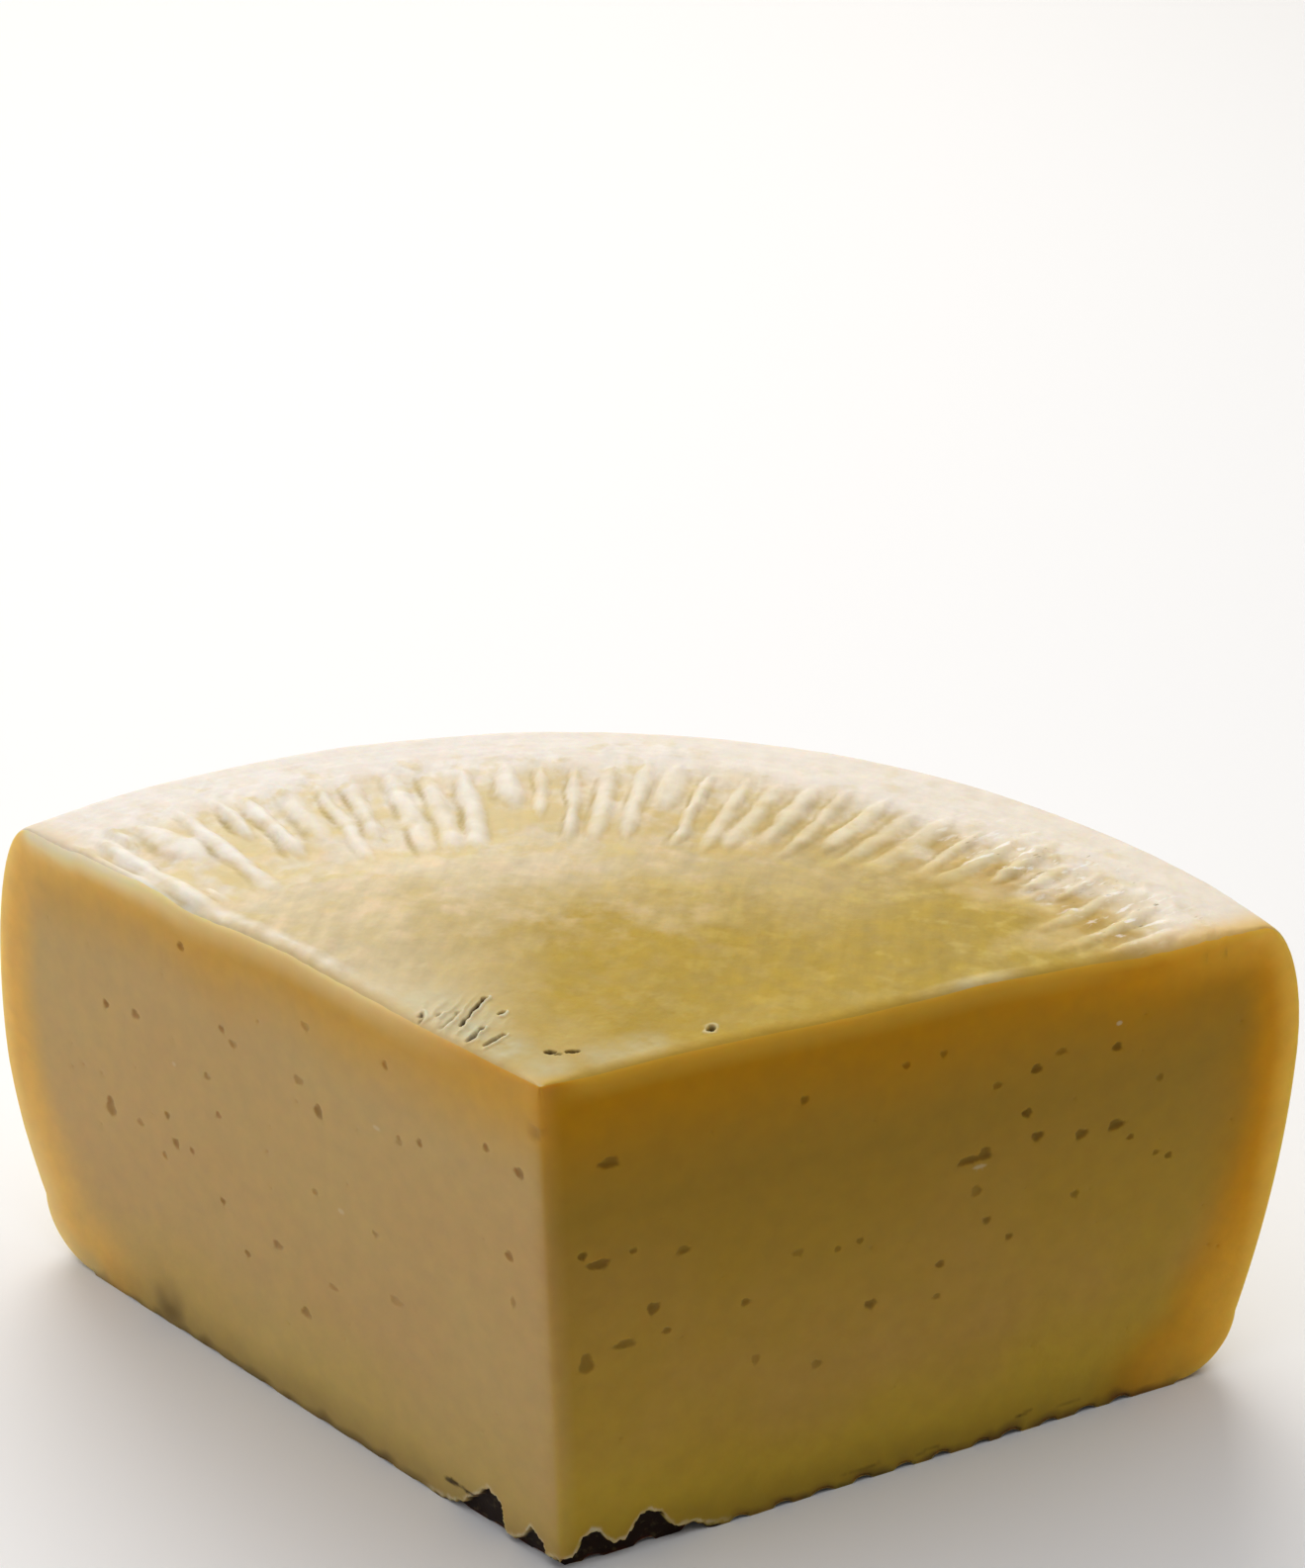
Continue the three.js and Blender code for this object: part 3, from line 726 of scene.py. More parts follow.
def pasteLooks(points, tops, sides, bases, side):
    x, z = points[:, 0], points[:, 1]
    underTop, underHeel, underBase = (distanceTo(points, line) for line in (tops, sides, bases))
    here = {name: pair[side > 0] for name, pair in curing.items()}
    drift = 1.5 * softNoise(x / 17, z / 17, 71 + side) + 0.6 * softNoise(x / 6, z / 6, 73 + side)
    cured = 1 - ease(underTop + drift, 0, here["underTop"])
    cured = np.maximum(cured, 1 - ease(underHeel + drift, -1, here["underHeel"]))
    # amber: deeper cured colour near the heel and the upper rim, partly painted backlight glowing through the
    # thin paste
    amberAndBacklight = 1 - ease(underHeel + 0.5 * drift, 4, mix(23, 14, ease(z, 20, 60)))
    atRim = (1 - ease(underTop + 0.5 * drift, 2, 13)) * ease(x, 72, 136)
    amberAndBacklight = 0.85 * np.maximum(amberAndBacklight, 0.9 * atRim)
    # painted light: the backlight glowing through the thin paste at the heel, at the top corner and low down
    backlightGlow = 1 - ease(underHeel + 0.3 * drift, 0.3, here["backlightGlowDepth"])
    backlightGlow = np.maximum(backlightGlow, 0.45 * (1 - ease(underTop + 0.5 * drift, 1, 12)) * ease(x, 114, 142))
    lowHeel = 1 - ease(z, 14, 48)
    backlightGlow = np.maximum(backlightGlow, here["lowHeelBacklightGlow"] * (1 - ease(underHeel + 0.5 * drift, 1, 17)) * lowHeel)
    # pale: painted highlight along the top edge and the low heel
    if side < 0:
        pale = np.clip(1 - underTop / 6.5, 0, 1) ** 1.4 * ease(x, 10, 50)
        pale = np.maximum(pale, (1 - ease(underTop + 0.3 * drift, 0.5, 7)) * ease(x, 70, 105))
        pale = np.maximum(pale, 0.5 * (1 - ease(underHeel + 0.3 * drift, 0.5, 9)) * lowHeel)
        pale = pale + (1 - ease(underTop, 0.6, 4.2)) * ease(x, 98, 122)
    else:
        pale = 0.48 * (1 - ease(underTop, 0.6, mix(5.8, 3, ease(x, 95, 120)))) * ease(x, 0, 10)
    olive = here["olive"] * (1 - ease(underBase + 3 * drift, 2, 34))
    ragged = 0.5 + 0.5 * softNoise(x / 3.5, z / 3.5, 75 + side)
    fine = 0.5 + 0.5 * softNoise(x / 1.4, z / 1.4, 77 + side)
    # darker along the base, and in the brown smudges
    darkLow = (1 - ease(underBase, 0.3, 1.5 + 3.5 * ragged)) * ease(x, 26, 40) * (0.35 + 0.5 * ragged)
    darkLow = np.maximum(darkLow, 0.3 * (1 - ease(underBase + drift, 0, 12)))
    for (atX, atZ), width, height, strength in (smudges if side < 0 else []):
        smudge = strength * bell(x, atX, width) * bell(z, atZ, height)
        darkLow = np.maximum(darkLow, 0.8 * smudge * (0.4 + 0.8 * ragged))
    # the dark crust round the tip, painted black with the shade of the hollows behind it; also painted shade
    # where the grooves reach the cut, and dark cracks
    edge = np.array(crustAndShadeLeft if side < 0 else crustAndShadeRight)
    over = z - np.interp(x, edge[:, 0], edge[:, 1]) - 0.4 * softNoise(x / 0.9, z / 0.9, 79 + side)
    near = 1 - ease(x, 31, 36)
    crustAndShade = (1 - ease(over, -0.35, 0.1)) * near
    under = (1 - ease(over, -0.5, 0)) * (1 - ease(x, *baseFace["hollowEnds"]))
    arches = here["arches"] * (1 - ease(underBase, 0.15, 0.5 + 0.5 * fine)) * ease(x, 30, 40)
    crustAndShade = np.maximum(crustAndShade, arches * ease(z, 0.15, 0.6))
    for start, end, wide, strength in (marksLeft if side < 0 else marksRight):
        away = slitDistance(x, z + 0.3 * softNoise(x / 0.8, z, 81), (start, end))[0]
        crustAndShade = np.maximum(crustAndShade, strength * (1 - ease(away, wide * 0.5, wide + 0.25)) * (0.4 + 0.6 * fine))
    rim = bell(over, 0.45, 0.4) * near * (0.35 + 0.65 * fine)
    for r, height, width, tall, strength in (crystalsLeft if side < 0 else crystalsRight):
        out = np.hypot((x - r) / (width / 2), (z - height) / (tall / 2))
        rim = np.maximum(rim, strength * (1 - ease(out, 0.5, 1.1)))
    right = 1 - 0.5 * (1 - ease(x, 0, 4)) if side > 0 else 0.3 * (1 - ease(x, 0, 3))
    return cured, amberAndBacklight, backlightGlow, olive, np.clip(darkLow, 0, 1), rim, crustAndShade, pale, right, under


# Patches of a finer net: from and to along the face, height, step
tipPatch = (1, 36, 11, 0.45)
lowPatch = (36, 136, 6, meshSteps["lowFace"])


def netOf(wide, tall, step):
    columns, lines = np.meshgrid(np.arange(*wide, step), np.arange(*tall, step * 0.87))
    columns = columns + step / 2 * (np.arange(lines.shape[0]) % 2)[:, None]
    return np.stack([columns.ravel(), lines.ravel()], 1)


# The points inside a cut face: an even net, finer in the patches, with rings round the eyes
def faceNet(marks, rim):
    step = meshSteps["face"]
    grid, fineNets = netOf((0, 158), (0, 106), step), []
    uneven = [softNoise(grid[:, 0], grid[:, 1], seed) for seed in (41, 42)]
    grid += step * 0.12 * np.stack(uneven, 1)
    for first, last, height, fineStep in (tipPatch, lowPatch):
        inPatch = (grid[:, 0] > first) & (grid[:, 0] <= last) & (grid[:, 1] <= height)
        grid = grid[~inPatch]
        fineNets.append(netOf((first, last), (0.3, height), fineStep))
    grid = np.concatenate([grid] + fineNets)
    for r, z, width, tall, strength in marks:
        away = np.hypot((grid[:, 0] - r) / (width / 2 + 0.7), (grid[:, 1] - z) / (tall / 2 + 0.7))
        grid = grid[away > 1]
    net = np.concatenate([grid, eyeNet(marks)])
    net = net[insideOf(net, rim)]
    return net[distanceTo(net, np.concatenate([rim, rim[:1]])) > 0.35]


def addCutFace(side, listed, crystals, frontEdge):
    ends = [row[0][0] if side < 0 else row[0][-1] for row in rows]
    loop = np.array(ends + list(frontEdge[::-1]))
    outline, zones = profileAt(loop), cloudAt("zone", loop)
    bevel = np.select([zones == zoneBase, zones == zonePaste], [0.4, 2.0], edgeRound(*outline.T))
    toCorner = np.min([np.hypot(*(outline - outline[k]).T) for k in (0, len(ends) - 1)], 0)
    bevel = np.minimum(bevel, 0.15 + 0.25 * toCorner)
    found = allEyes(listed, side)
    angle = side * wheel["halfAngle"]
    rings = [loop]
    for share in (edgeBend, 1.0, 1.9):
        inner = insetOf(outline, bevel * share)
        rings.append(addPoints(zonePaste, inner[:, 0], np.full(len(inner), angle), inner[:, 1]))
    for outer, inner in zip(rings, rings[1:]):
        for k in range(len(loop)):
            a, b = outer[k], outer[(k + 1) % len(loop)]
            c, d = inner[k], inner[(k + 1) % len(loop)]
            pair = [(a, b, d), (a, d, c)]
            triangles.extend(pair if side < 0 else [t[::-1] for t in pair])
            triangleZones.extend([zonePaste] * 2)
    rim = profileAt(rings[-1])
    net = faceNet(found + crystals, rim)
    count = len(rim)
    verts = [Vector(p) for p in np.concatenate([rim, net])]
    edges = [(k, (k + 1) % count) for k in range(count)]
    made = delaunay_2d_cdt(verts, edges, [], 1, 1e-5)
    placed, _, faces, origins = made[:4]
    netIds = addPoints(zonePaste, net[:, 0], np.full(len(net), angle), net[:, 1])
    known = np.concatenate([rings[-1], netIds])
    ids = []
    for at, origin in zip(placed, origins):
        if origin:
            ids.append(known[origin[0]])
        else:
            ids.append(addPoints(zonePaste, [at[0]], [angle], [at[1]])[0])
    for face in faces:
        corners = [ids[k] for k in face]
        triangles.append(corners if side > 0 else corners[::-1])
        triangleZones.append(zonePaste)
    # what the finish needs to know about each point of the face
    mine = np.concatenate(rings + [netIds])
    points = profileAt(mine)
    lines = [outline[:len(ends)][zones[:len(ends)] == zone] for zone in (zoneTop, zoneSide, zoneBase)]
    looks = list(pitDepth(points, found, side) + pasteLooks(points, *lines, side))
    bend = slice(len(loop), 2 * len(loop))
    looks[0][bend] = np.maximum(looks[0][bend], bevel * edgeBendSink)
    for name, values in zip(faceData, looks):
        for k, value in zip(mine, values):
            faceData[name][k] = max(value, faceData[name].get(k, 0))


frontCount = int(wheel["crownHeight"] / meshSteps["frontEdge"])
frontZ = np.linspace(0, wheel["crownHeight"], frontCount + 1)[1:-1][::-1]
frontEdge = addPoints(zonePaste, frontZ * 0, frontZ * 0, frontZ)
addCutFace(-1, eyesLeft, crystalsLeft, frontEdge)
addCutFace(1, eyesRight, crystalsRight, frontEdge)
print("cut faces:", len(cloud["r"]), "points,", len(triangles), "triangles")


# One mesh from the rows and faces, with what the finishes need in attributes

def buildBody():
    r, angle, z = (np.array(cloud[k], float) for k in ("r", "angle", "z"))
    at = place(r, angle, z)
    looks = {name: np.zeros(len(r)) for name in faceData}
    for name, known in faceData.items():
        looks[name][list(known)] = list(known.values())
    turn = np.radians(angle)
    inward = np.stack([-np.cos(turn), np.sin(turn), turn * 0], 1) * np.sign(angle)[:, None]
    at += inward * looks.pop("offset")[:, None]
    # the crust of the base near the tip, painted with the shade of the hollows, lies back from both cut faces
    hollow = np.maximum(np.array(cloud["hollow"], float), looks.pop("under"))
    for side in (-1, 1):
        half = math.radians(wheel["halfAngle"])
        away = r * np.sin(half - side * turn)
        back = hollow * baseFace["setBack"] * (1 - ease(away, 0, baseFace["blend"]))
        at += back[:, None] * np.array([-side * math.cos(half), math.sin(half), 0])
    # the cut edges are rounded: the edge itself and the column next to it sink along the profile's normal
    for side, columns in ((-1, (0, 1)), (1, (-1, -2))):
        skin = [row for row, zone in rows if len(row) > 1 and zone != zoneBase]
        ends, nexts = (np.array([row[column] for row in skin]) for column in columns)
        slope = np.gradient(np.stack([r[ends], z[ends]], 1), axis=0)
        slope = slope / np.linalg.norm(slope, axis=1, keepdims=True)
        edgeTurn = math.radians(side * wheel["halfAngle"])
        outward = np.array([math.sin(edgeTurn), math.cos(edgeTurn), 0])
        radius = edgeRound(r[ends], z[ends])[:, None]
        sink = (slope[:, 1:] * outward - slope[:, :1] * np.array([0, 0, 1])) * radius
        aside = side * np.array([-math.cos(edgeTurn), math.sin(edgeTurn), 0]) * radius
        at[ends] += edgeSink * (sink + aside)
        at[nexts] += edgeBendSink * sink
    at[frontEdge, 1] += wheel["tipRound"] * ease(z[frontEdge], 0, 4)
    at[rows[0][0][0]] += (0, wheel["tipRound"], -0.25)
    axis = np.array([wheel["axisX"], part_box("cheese")[0].y / mm, 0])
    mesh = bpy.data.meshes.new("cheeseSector")
    mesh.from_pydata(((at + axis) * mm).tolist(), [], [tuple(int(k) for k in t) for t in triangles])
    mesh.validate()
    looks.update({name: np.array(cloud[name], float) for name in topLooks})
    looks.update(wheelRadius=r, wheelAngle=angle)
    for name, values in looks.items():
        mesh.attributes.new(name, "FLOAT", "POINT").data.foreach_set("value", values.astype(np.float32))
    mesh.attributes.new("zone", "INT", "FACE").data.foreach_set("value", np.array(triangleZones, np.int32))
    mesh.shade_smooth()
    return addObject("cheeseSector", mesh)


# Finishes: a pair is the colour at the left and at the right of the cheese

finish = {
    "core": ("#ccaa6c", "#c09b3a"),    # dull straw, as the inside of a long-aged cheese
    "coreHighRight": "#aa852c",        # the right cut is duller toward the top
    "coreWarm": "#cc9c66",             # faint pinkish clouds in it
    "olive": ("#d0b45a", "#ccaa38"),
    "cured": ("#d7a342", "#c18808"),   # dried and deeper yellow next to the rind
    "amberAndBacklight": ("#f2bb5c", "#e69e14"),   # and most of all near the heel, there partly painted backlight glowing through
    # painted light: backlight glowing through the thin paste
    "backlightGlow": ("#ffd474", "#fccb50"),
    # darker along the base
    "pasteDarkLow": "#5a4425",
    "pasteRim": "#dccfa8",
    # painted highlight along the paste's edges
    "pasteEdgeHighlight": ("#fae2a0", "#efc850"),
    "pasteEdgeWhiteHighlight": "#ffeecc",
    # the crust near the tip, with painted shade of the hollows behind it
    "crustAndShadeBlack": "#261810",
    "crustMould": "#5a5034",
    "eye": ("#a0703a", "#6e4c1c"),
    "rindTip": ("#b89d56", "#ae9030", "#b09232"),  # from the very tip outward
    "rindInner": ("#d2bf96", "#b0943c"),
    "rindBand": ("#e0d2b8", "#ceb478"),
    "rindRim": ("#eae2d8", "#e8ddcc"),
    "rindCrest": ("#f3eee4", "#dcd0a6"),
    "rindValley": ("#dcc68c", "#b08c30"),
    # painted shade in the creases beside the crests
    "rindCreaseShade": "#ab9254",
    "rindPink": "#e6c8a4",
    "rindYellow": "#d0b868",
    "rindSide": "#e2cf9f",             # ivory to straw, as the hidden side of such a wheel usually is
    "rindSideDull": "#b99a5c",
    # pale flakes with painted glints
    "rindFlakeGlint": "#f6f2ea",
    "rindSpeck": "#7a6436",
    "rindBloom": "#c8c4a4",
    # the paste's tint on the rounded cut edges, with painted light where they face away from the lamps
    "rindEdgeTintAndLight": ("#d8b878", "#c49e36"),
    "rindEdgeRim": "#dcb255",
    # darker in the slits and the pinhole
    "slitDark": "#3a2410",
    "baseLand": "#8a6f3c",
    # nearly black in the grooves: dark rind with painted shade
    "baseGroove": "#17110c",
    "table": "#f3f3f4",
}


def newMaterial(name):
    material = bpy.data.materials.new(name)
    material.use_nodes = True
    tree = material.node_tree
    tree.nodes.clear()
    shader = addNode(tree, "ShaderNodeBsdfPrincipled")
    addNode(tree, "ShaderNodeOutputMaterial", {}, {0: shader.outputs[0]})
    coords = addNode(tree, "ShaderNodeTexCoord").outputs["Object"]
    return material, tree, shader, coords


def attributes(tree, *names):
    return [addNode(tree, "ShaderNodeAttribute", {"attribute_name": name}).outputs["Fac"] for name in names]


def calc(tree, operation, a, b):
    return addNode(tree, "ShaderNodeMath", {"operation": operation}, {0: a, 1: b}).outputs[0]


def noise(tree, coords, size, detail=3.0):  # size in mm
    inputs = {"Vector": coords, "Scale": 1 / (size * mm), "Detail": detail}
    return addNode(tree, "ShaderNodeTexNoise", {}, inputs).outputs[0]


def remap(tree, value, fromLow, fromHigh, low=0.0, high=1.0):
    inputs = {0: value, 1: fromLow, 2: fromHigh, 3: low, 4: high}
    return addNode(tree, "ShaderNodeMapRange", {}, inputs).outputs[0]


def mixColor(tree, factor, a, b, blend="MIX"):
    node = addNode(tree, "ShaderNodeMix", {"data_type": "RGBA", "blend_type": blend}, {0: factor, 6: a, 7: b})
    return node.outputs[2]


def mottled(tree, color, pattern, fromLow, fromHigh, dark, light):
    return mixColor(tree, 1.0, color, remap(tree, pattern, fromLow, fromHigh, dark, light), "MULTIPLY")


def paint(tree, toRight, name):
    color = finish[name]
    if isinstance(color, str):
        return hexToLinear(color)
    return mixColor(tree, toRight, hexToLinear(color[0]), hexToLinear(color[1]))


# Colours laid over a first one: each layer has its share and the name of its finish, or its colour
def layered(tree, toRight, color, layers):
    for share, over in layers:
        over = paint(tree, toRight, over) if isinstance(over, str) else over
        color = mixColor(tree, share, color, over)
    return color


# Cut paste of a hard cheese: dense and waxy, light goes a few millimetres in, so it looks soft and warm
def pasteMaterial():
    material, tree, shader, coords = newMaterial("cutPaste")
    toRight, olive, cured, amberAndBacklight, backlightGlow = attributes(tree, "right", "olive", "cured", "amberAndBacklight", "backlightGlow")
    pale, pit, darkLow, rim, crustAndShade = attributes(tree, "pale", "pit", "darkLow", "rim", "crustAndShade")
    height = addNode(tree, "ShaderNodeSeparateXYZ", {}, {0: coords}).outputs[2]
    color = layered(tree, toRight, paint(tree, toRight, "core"), [
        (remap(tree, noise(tree, coords, 40, 2.0), 0.4, 0.7, 0.0, 0.35), "coreWarm"),
        (calc(tree, "MULTIPLY", toRight, remap(tree, height, 0.032, 0.074)), "coreHighRight"),
        (olive, "olive"),
        (remap(tree, cured, 0.0, 0.9), "cured"),
        # cured amber near the heel, partly painted backlight
        (amberAndBacklight, "amberAndBacklight"),
        # painted light glowing through the thin paste
        (backlightGlow, "backlightGlow"),
    ])
    curd = noise(tree, coords, 4, 4.0)
    color = mottled(tree, color, curd, 0.3, 0.7, 0.95, 1.04)
    # painted highlight along the paste's edges, whitest at the upper left
    whiter = [(remap(tree, pale, 1.0, 2.0), "pasteEdgeWhiteHighlight")]
    mould = [(remap(tree, noise(tree, coords, 1.6, 4.0), 0.55, 0.75, 0.0, 0.7), "crustMould")]
    color = layered(tree, toRight, color, [
        (remap(tree, pale, 0.0, 1.0), layered(tree, toRight, paint(tree, toRight, "pasteEdgeHighlight"), whiter)),
        (remap(tree, pit, 0.0, 1.0, 0.0, 0.45), "eye"),
        # darker along the base
        (darkLow, "pasteDarkLow"),
        (rim, "pasteRim"),
        # the crust near the tip, with painted shade of the hollows
        (crustAndShade, layered(tree, toRight, paint(tree, toRight, "crustAndShadeBlack"), mould)),
    ])
    grain = {"Strength": 0.25, "Distance": 0.0003, "Height": noise(tree, coords, 1.2)}
    setInputs(tree, shader, {
        "Base Color": color,
        "Roughness": remap(tree, curd, 0.3, 0.7, 0.48, 0.64),
        "Specular IOR Level": remap(tree, toRight, 0.0, 1.0, 0.16, 0.08),
        "Subsurface Weight": 0.55,
        "Subsurface Radius": (1.0, 0.42, 0.12),
        "Subsurface Scale": 0.0045,
        "IOR": 1.45,
        "Normal": addNode(tree, "ShaderNodeBump", {}, grain).outputs[0],
    })
    return material


# Pressed and dried rind: yellow in the middle, pinkish then ivory outward, whitest on the dry ridges
def rindMaterial():
    material, tree, shader, coords = newMaterial("pressedRind")
    radius, angle, nearCut, bloom = attributes(tree, "wheelRadius", "wheelAngle", "nearCut", "bloom")
    valley, crest, creaseShade, torn, dark = attributes(tree, "valley", "crest", "creaseShade", "torn", "dark")
    toRight = remap(tree, angle, -25.0, 38.0)
    shift = remap(tree, noise(tree, coords, 14, 5.0), 0.3, 0.7, -9.0, 9.0)
    far = calc(tree, "ADD", radius, shift)

    def outward(side, *places):  # colours from the tip to the rim, with the radii of the last three
        places = (3, 27, 58) + places
        outer = tuple(finish[name][side] for name in ("rindInner", "rindBand", "rindRim"))
        colors = [hexToLinear(color) for color in finish["rindTip"] + outer]
        ramp = addNode(tree, "ShaderNodeValToRGB", {}, {0: remap(tree, far, 0.0, 150.0)})
        stops = ramp.color_ramp.elements
        stops[0].position, stops[0].color = places[0] / 150, colors[0]
        stops[1].position, stops[1].color = places[-1] / 150, colors[-1]
        for radiusHere, color in list(zip(places, colors))[1:-1]:
            stops.new(radiusHere / 150).color = color
        return ramp.outputs[0]

    def along(turn, share):  # coordinates in which a pattern is drawn out, with the turn from +Y towards +X
        turned = addNode(tree, "ShaderNodeVectorRotate", {"rotation_type": "Z_AXIS"},
                         {"Vector": coords, "Angle": math.radians(turn)}).outputs[0]
        inputs = {0: turned, 1: (1, share, 1)}
        return addNode(tree, "ShaderNodeVectorMath", {"operation": "MULTIPLY"}, inputs).outputs[0]

    def patches(size, detail, *span, over=coords):
        return remap(tree, noise(tree, over, size, detail), *span)

    def both(a, b):
        return calc(tree, "MULTIPLY", a, b)

    color = mixColor(tree, toRight, outward(0, 72, 92, 130), outward(1, 99, 111, 131))
    paler = both(remap(tree, angle, -50.0, -5.0, 1.0, 0.0), remap(tree, radius, 14.0, 32.0))
    paler = both(paler, remap(tree, radius, 70.0, 95.0, 1.0, 0.0))
    color = mixColor(tree, paler, color, hexToLinear(finish["rindInner"][0]))
    pinkShare = both(patches(7, 3.0, 0.5, 0.68, 0.0, 0.5), remap(tree, radius, 40.0, 80.0, 0.2, 1.0))
    pink = mixColor(tree, toRight, hexToLinear(finish["rindPink"]), color)
    yellowShare = both(patches(5.5, 3.0, 0.52, 0.66, 0.0, 0.45), remap(tree, radius, 60.0, 95.0, 0.4, 1.0))
    color = layered(tree, toRight, color, [(pinkShare, pink), (yellowShare, "rindYellow")])
    dragged = mottled(tree, color, noise(tree, along(0.0, 0.16), 2.6, 3.0), 0.35, 0.65, 0.93, 1.07)
    color = mixColor(tree, remap(tree, radius, 30.0, 50.0, 0.0, 0.7), color, dragged)
    dappled = mottled(tree, color, noise(tree, coords, 3.1, 4.0), 0.35, 0.65, 0.95, 1.04)
    color = mixColor(tree, remap(tree, radius, 30.0, 60.0, 0.4, 1.0), color, dappled)
    ridgeWise = along(45.0, 0.3)
    color = layered(tree, toRight, color, [
        (remap(tree, far, 126.0, 138.0, 0.0, 0.8), "rindRim"),
        (both(valley, patches(8, 2.0, 0.4, 0.6, 0.1, 0.8)), "rindValley"),
        (both(remap(tree, crest, 0.1, 0.9), patches(6, 3.0, 0.35, 0.6, 0.45, 0.85)), "rindCrest"),
        # painted shade beside each crest
        (remap(tree, creaseShade, 0.1, 0.9, 0.0, 0.7), "rindCreaseShade"),
        # pale flakes with painted glints, and dark specks
        (both(torn, patches(1.7, 4.0, 0.58, 0.68, 0.0, 0.75, over=ridgeWise)), "rindFlakeGlint"),
        (both(torn, patches(1.1, 4.0, 0.66, 0.74, 0.0, 0.75, over=ridgeWise)), "rindSpeck"),
        (bloom, "rindBloom"),
    ])
    height = addNode(tree, "ShaderNodeSeparateXYZ", {}, {0: coords}).outputs[2]
    dull = [(patches(16, 5.0, 0.42, 0.66, 0.0, 0.6), "rindSideDull")]
    side = layered(tree, toRight, paint(tree, toRight, "rindSide"), dull)
    color = mixColor(tree, remap(tree, height, 0.098, 0.086), color, side)
    spots = noise(tree, coords, 5, 5.0)
    color = mottled(tree, color, spots, 0.3, 0.7, 0.94, 1.05)
    # the edge colour: the paste's tint with painted light on the rounded cut edges
    atRim = [(both(toRight, remap(tree, radius, 98.0, 128.0)), "rindEdgeRim")]
    edge = layered(tree, toRight, paint(tree, toRight, "rindEdgeTintAndLight"), atRim)
    # darker in the slits and the pinhole
    color = layered(tree, toRight, color, [(nearCut, edge), (dark, "slitDark")])
    grain = {"Strength": 0.45, "Distance": 0.0003, "Height": noise(tree, coords, 1.4, 4.0)}
    setInputs(tree, shader, {
        "Base Color": color,
        "Roughness": remap(tree, spots, 0.3, 0.7, 0.6, 0.8),
        "Specular IOR Level": remap(tree, dark, 0.0, 0.6, 0.3, 0.05),
        "Subsurface Weight": remap(tree, dark, 0.0, 0.6, 0.35, 0.0),
        "Subsurface Radius": (1.0, 0.5, 0.2),
        "Subsurface Scale": 0.004,
        "IOR": 1.46,
        "Normal": addNode(tree, "ShaderNodeBump", {}, grain).outputs[0],
    })
    return material


# The underside took mould from the shelf: brown on the lands; nearly black in the grooves and round the tip,
# dark rind with painted shade
def baseMaterial():
    material, tree, shader, coords = newMaterial("shelfSideRind")
    blotch = noise(tree, coords, 6, 5.0)
    land = mottled(tree, hexToLinear(finish["baseLand"]), blotch, 0.3, 0.7, 0.7, 1.15)
    color = mixColor(tree, attributes(tree, "dark")[0], land, hexToLinear(finish["baseGroove"]))
    grain = addNode(tree, "ShaderNodeBump", {}, {"Strength": 0.5, "Distance": 0.0006, "Height": blotch})
    setInputs(tree, shader, {"Base Color": color, "Roughness": 0.7, "Normal": grain.outputs[0]})
    return material


# The table is plain, pale and matt, so that it gives back a soft light and no reflection
def tableMaterial():
    material, tree, shader = newMaterial("paleTable")[:3]
    setInputs(tree, shader, {"Base Color": hexToLinear(finish["table"]), "Roughness": 0.6})
    return material


# Geometry Nodes give the last relief: rind grain, slow waves of the knife, and each zone its material

surface = {
    "grainSize": 2.4,
    "grainHeight": 0.14,
    "waveSize": 26.0,
    "waveHeight": 0.45,
    "curdSize": 3.6,
    "curdHeight": 0.05,
    "seed": 3.0,
}


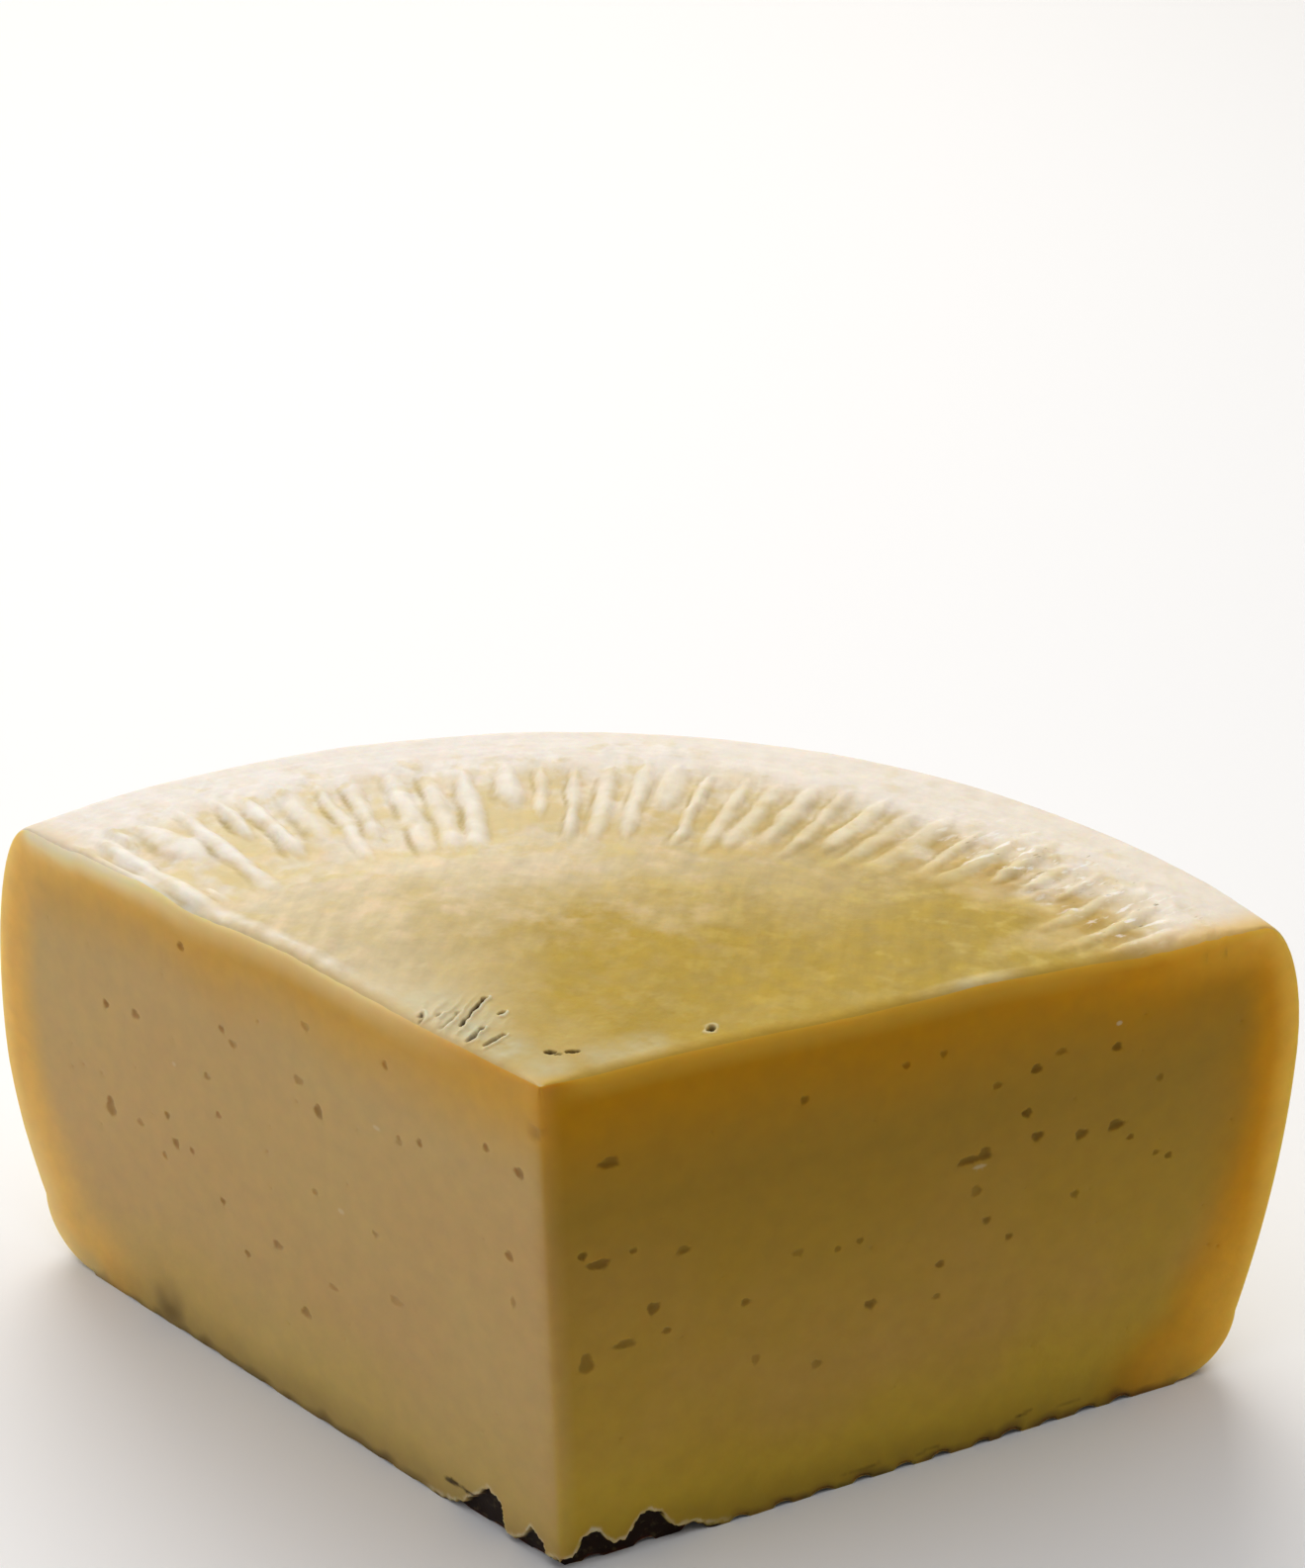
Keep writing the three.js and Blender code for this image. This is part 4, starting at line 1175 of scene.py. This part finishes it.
def surfaceTree(materials):
    tree = bpy.data.node_groups.new("pressedSurface", "GeometryNodeTree")
    face = tree.interface
    face.new_socket("Geometry", in_out="INPUT", socket_type="NodeSocketGeometry")
    face.new_socket("Geometry", in_out="OUTPUT", socket_type="NodeSocketGeometry")
    for name in surface:
        face.new_socket(name, in_out="INPUT", socket_type="NodeSocketFloat")
    source = addNode(tree, "NodeGroupInput")
    sink = addNode(tree, "NodeGroupOutput")
    at = addNode(tree, "GeometryNodeInputPosition").outputs[0]
    normal = addNode(tree, "GeometryNodeInputNormal").outputs[0]
    zone = addNode(tree, "GeometryNodeInputNamedAttribute", {"data_type": "INT"}, {"Name": "zone"}).outputs[0]

    def zoneTest(operation, number):
        settings = {"data_type": "INT", "operation": operation}
        return addNode(tree, "FunctionNodeCompare", settings, {2: zone, 3: number}).outputs[0]

    def bumps(size, height):
        scale = calc(tree, "DIVIDE", 1 / mm, source.outputs[size])
        inputs = {"Vector": at, "W": source.outputs["seed"], "Scale": scale, "Detail": 2.0}
        pattern = addNode(tree, "ShaderNodeTexNoise", {"noise_dimensions": "4D"}, inputs).outputs[0]
        tall = calc(tree, "MULTIPLY", calc(tree, "SUBTRACT", pattern, 0.5), source.outputs[height])
        return calc(tree, "MULTIPLY", tall, 2 * mm)

    fine = addNode(tree, "GeometryNodeSwitch", {"input_type": "FLOAT"}, {
        0: zoneTest("EQUAL", zonePaste),
        1: bumps("grainSize", "grainHeight"),
        2: bumps("curdSize", "curdHeight"),
    }).outputs[0]
    total = calc(tree, "ADD", fine, bumps("waveSize", "waveHeight"))
    offset = addNode(tree, "ShaderNodeVectorMath", {"operation": "SCALE"}, {0: normal, 3: total})
    moved = addNode(tree, "GeometryNodeSetPosition", {}, {
        "Geometry": source.outputs[0],
        "Selection": zoneTest("NOT_EQUAL", zoneBase),
        "Offset": offset.outputs[0],
    })
    flow = addNode(tree, "GeometryNodeRealizeInstances", {}, {0: moved.outputs[0]}).outputs[0]
    for number, material in materials.items():
        chosen = zoneTest("EQUAL", number)
        inputs = {"Geometry": flow, "Selection": chosen, "Material": material}
        flow = addNode(tree, "GeometryNodeSetMaterial", {}, inputs).outputs[0]
    tree.links.new(flow, sink.inputs[0])
    return tree


def finishBody(body):
    rind = rindMaterial()
    tree = surfaceTree({zoneTop: rind, zoneSide: rind, zoneBase: baseMaterial(), zonePaste: pasteMaterial()})
    modifier = body.modifiers.new("pressedSurface", "NODES")
    modifier.node_group = tree
    for item in tree.interface.items_tree:
        if item.in_out == "INPUT" and item.name in surface:
            modifier[item.identifier] = surface[item.name]
    bpy.context.view_layer.update()
    evaluated = body.evaluated_get(bpy.context.evaluated_depsgraph_get())
    mesh = bpy.data.meshes.new_from_object(evaluated)
    body.modifiers.remove(modifier)
    body.data = mesh
    return body


body = finishBody(buildBody())
print("body:", len(body.data.polygons), "faces,", len(body.data.materials), "materials")
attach(body, "root")
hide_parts("cheese")


# Table, light and camera

studio = {
    "tableSize": 12.0,
    "worldColor": "#ffffff",
    "worldStrength": 0.12,
}
lights = {
    "key": {"place": (-1.0, 2.9, 2.6), "size": 3.2, "power": 110.0, "color": "#fffaf2"},
    "overhead": {"place": (0.0, 0.1, 1.8), "size": 2.4, "power": 24.0, "color": "#ffffff"},
    # daylight that only the left cut face sees
    "cool": {"place": (-1.3, -0.5, 0.6), "size": 1.0, "power": 4.0, "color": "#eff2ff"},
}
lightsAim = (0, 0, 0.05)


def makeTable():
    half = studio["tableSize"] / 2
    corners = [(x * half, y * half, 0) for x, y in ((-1, -1), (1, -1), (1, 1), (-1, 1))]
    mesh = bpy.data.meshes.new("table")
    mesh.from_pydata(corners, [], [(0, 1, 2, 3)])
    mesh.materials.append(tableMaterial())
    table = addObject("table", mesh)
    table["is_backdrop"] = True


def makeLight(name, place, size, power, color):
    data = bpy.data.lights.new(name, "AREA")
    data.size = size
    data.energy = power
    data.color = hexToLinear(color)[:3]
    light = addObject(name, data)
    light.location = place
    toward = Vector(lightsAim) - light.location
    light.rotation_euler = toward.to_track_quat("-Z", "Y").to_euler()


def makeWorld():
    world = bpy.data.worlds.new("studio")
    world.use_nodes = True
    back = world.node_tree.nodes["Background"]
    back.inputs[0].default_value = hexToLinear(studio["worldColor"])
    back.inputs[1].default_value = studio["worldStrength"]
    bpy.context.scene.world = world
    bpy.context.scene.view_settings.view_transform = "Standard"


# The camera stands where the photograph was taken from, as its outline fits the wheel
view = {
    "place": (78.3, -411.0, 360.5),  # from the wheel's axis at table height
    "azimuth": 8.535,
    "pitch": 25.861,
    "roll": 0.6,
    "focalPixels": 3000.0,
    "longSidePixels": 1585.0,
    "sensorWidth": 36.0,
}


def makeCamera():
    a, p, roll = (math.radians(view[k]) for k in ("azimuth", "pitch", "roll"))
    right = Vector((math.cos(a), math.sin(a), 0))
    forward = Vector((-math.sin(a) * math.cos(p), math.cos(a) * math.cos(p), -math.sin(p)))
    up = right.cross(forward)
    turnedRight = right * math.cos(roll) + up * math.sin(roll)
    turnedUp = up * math.cos(roll) - right * math.sin(roll)
    data = bpy.data.cameras.new("camera")
    data.sensor_width = view["sensorWidth"]
    data.lens = view["sensorWidth"] * view["focalPixels"] / view["longSidePixels"]
    camera = addObject("camera", data)
    axis = Vector((wheel["axisX"] * mm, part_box("cheese")[0].y, 0))
    at = Vector(view["place"]) * mm + axis
    matrix = Matrix((turnedRight, turnedUp, -forward)).transposed().to_4x4()
    camera.matrix_world = Matrix.Translation(at) @ matrix
    bpy.context.scene.camera = camera


makeTable()
for lightName, settings in lights.items():
    makeLight(lightName, **settings)
makeWorld()
makeCamera()
print("stage set")

sizes = {"cad": [list(corner) for corner in cadBox], "visual": [list(corner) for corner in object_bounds()]}
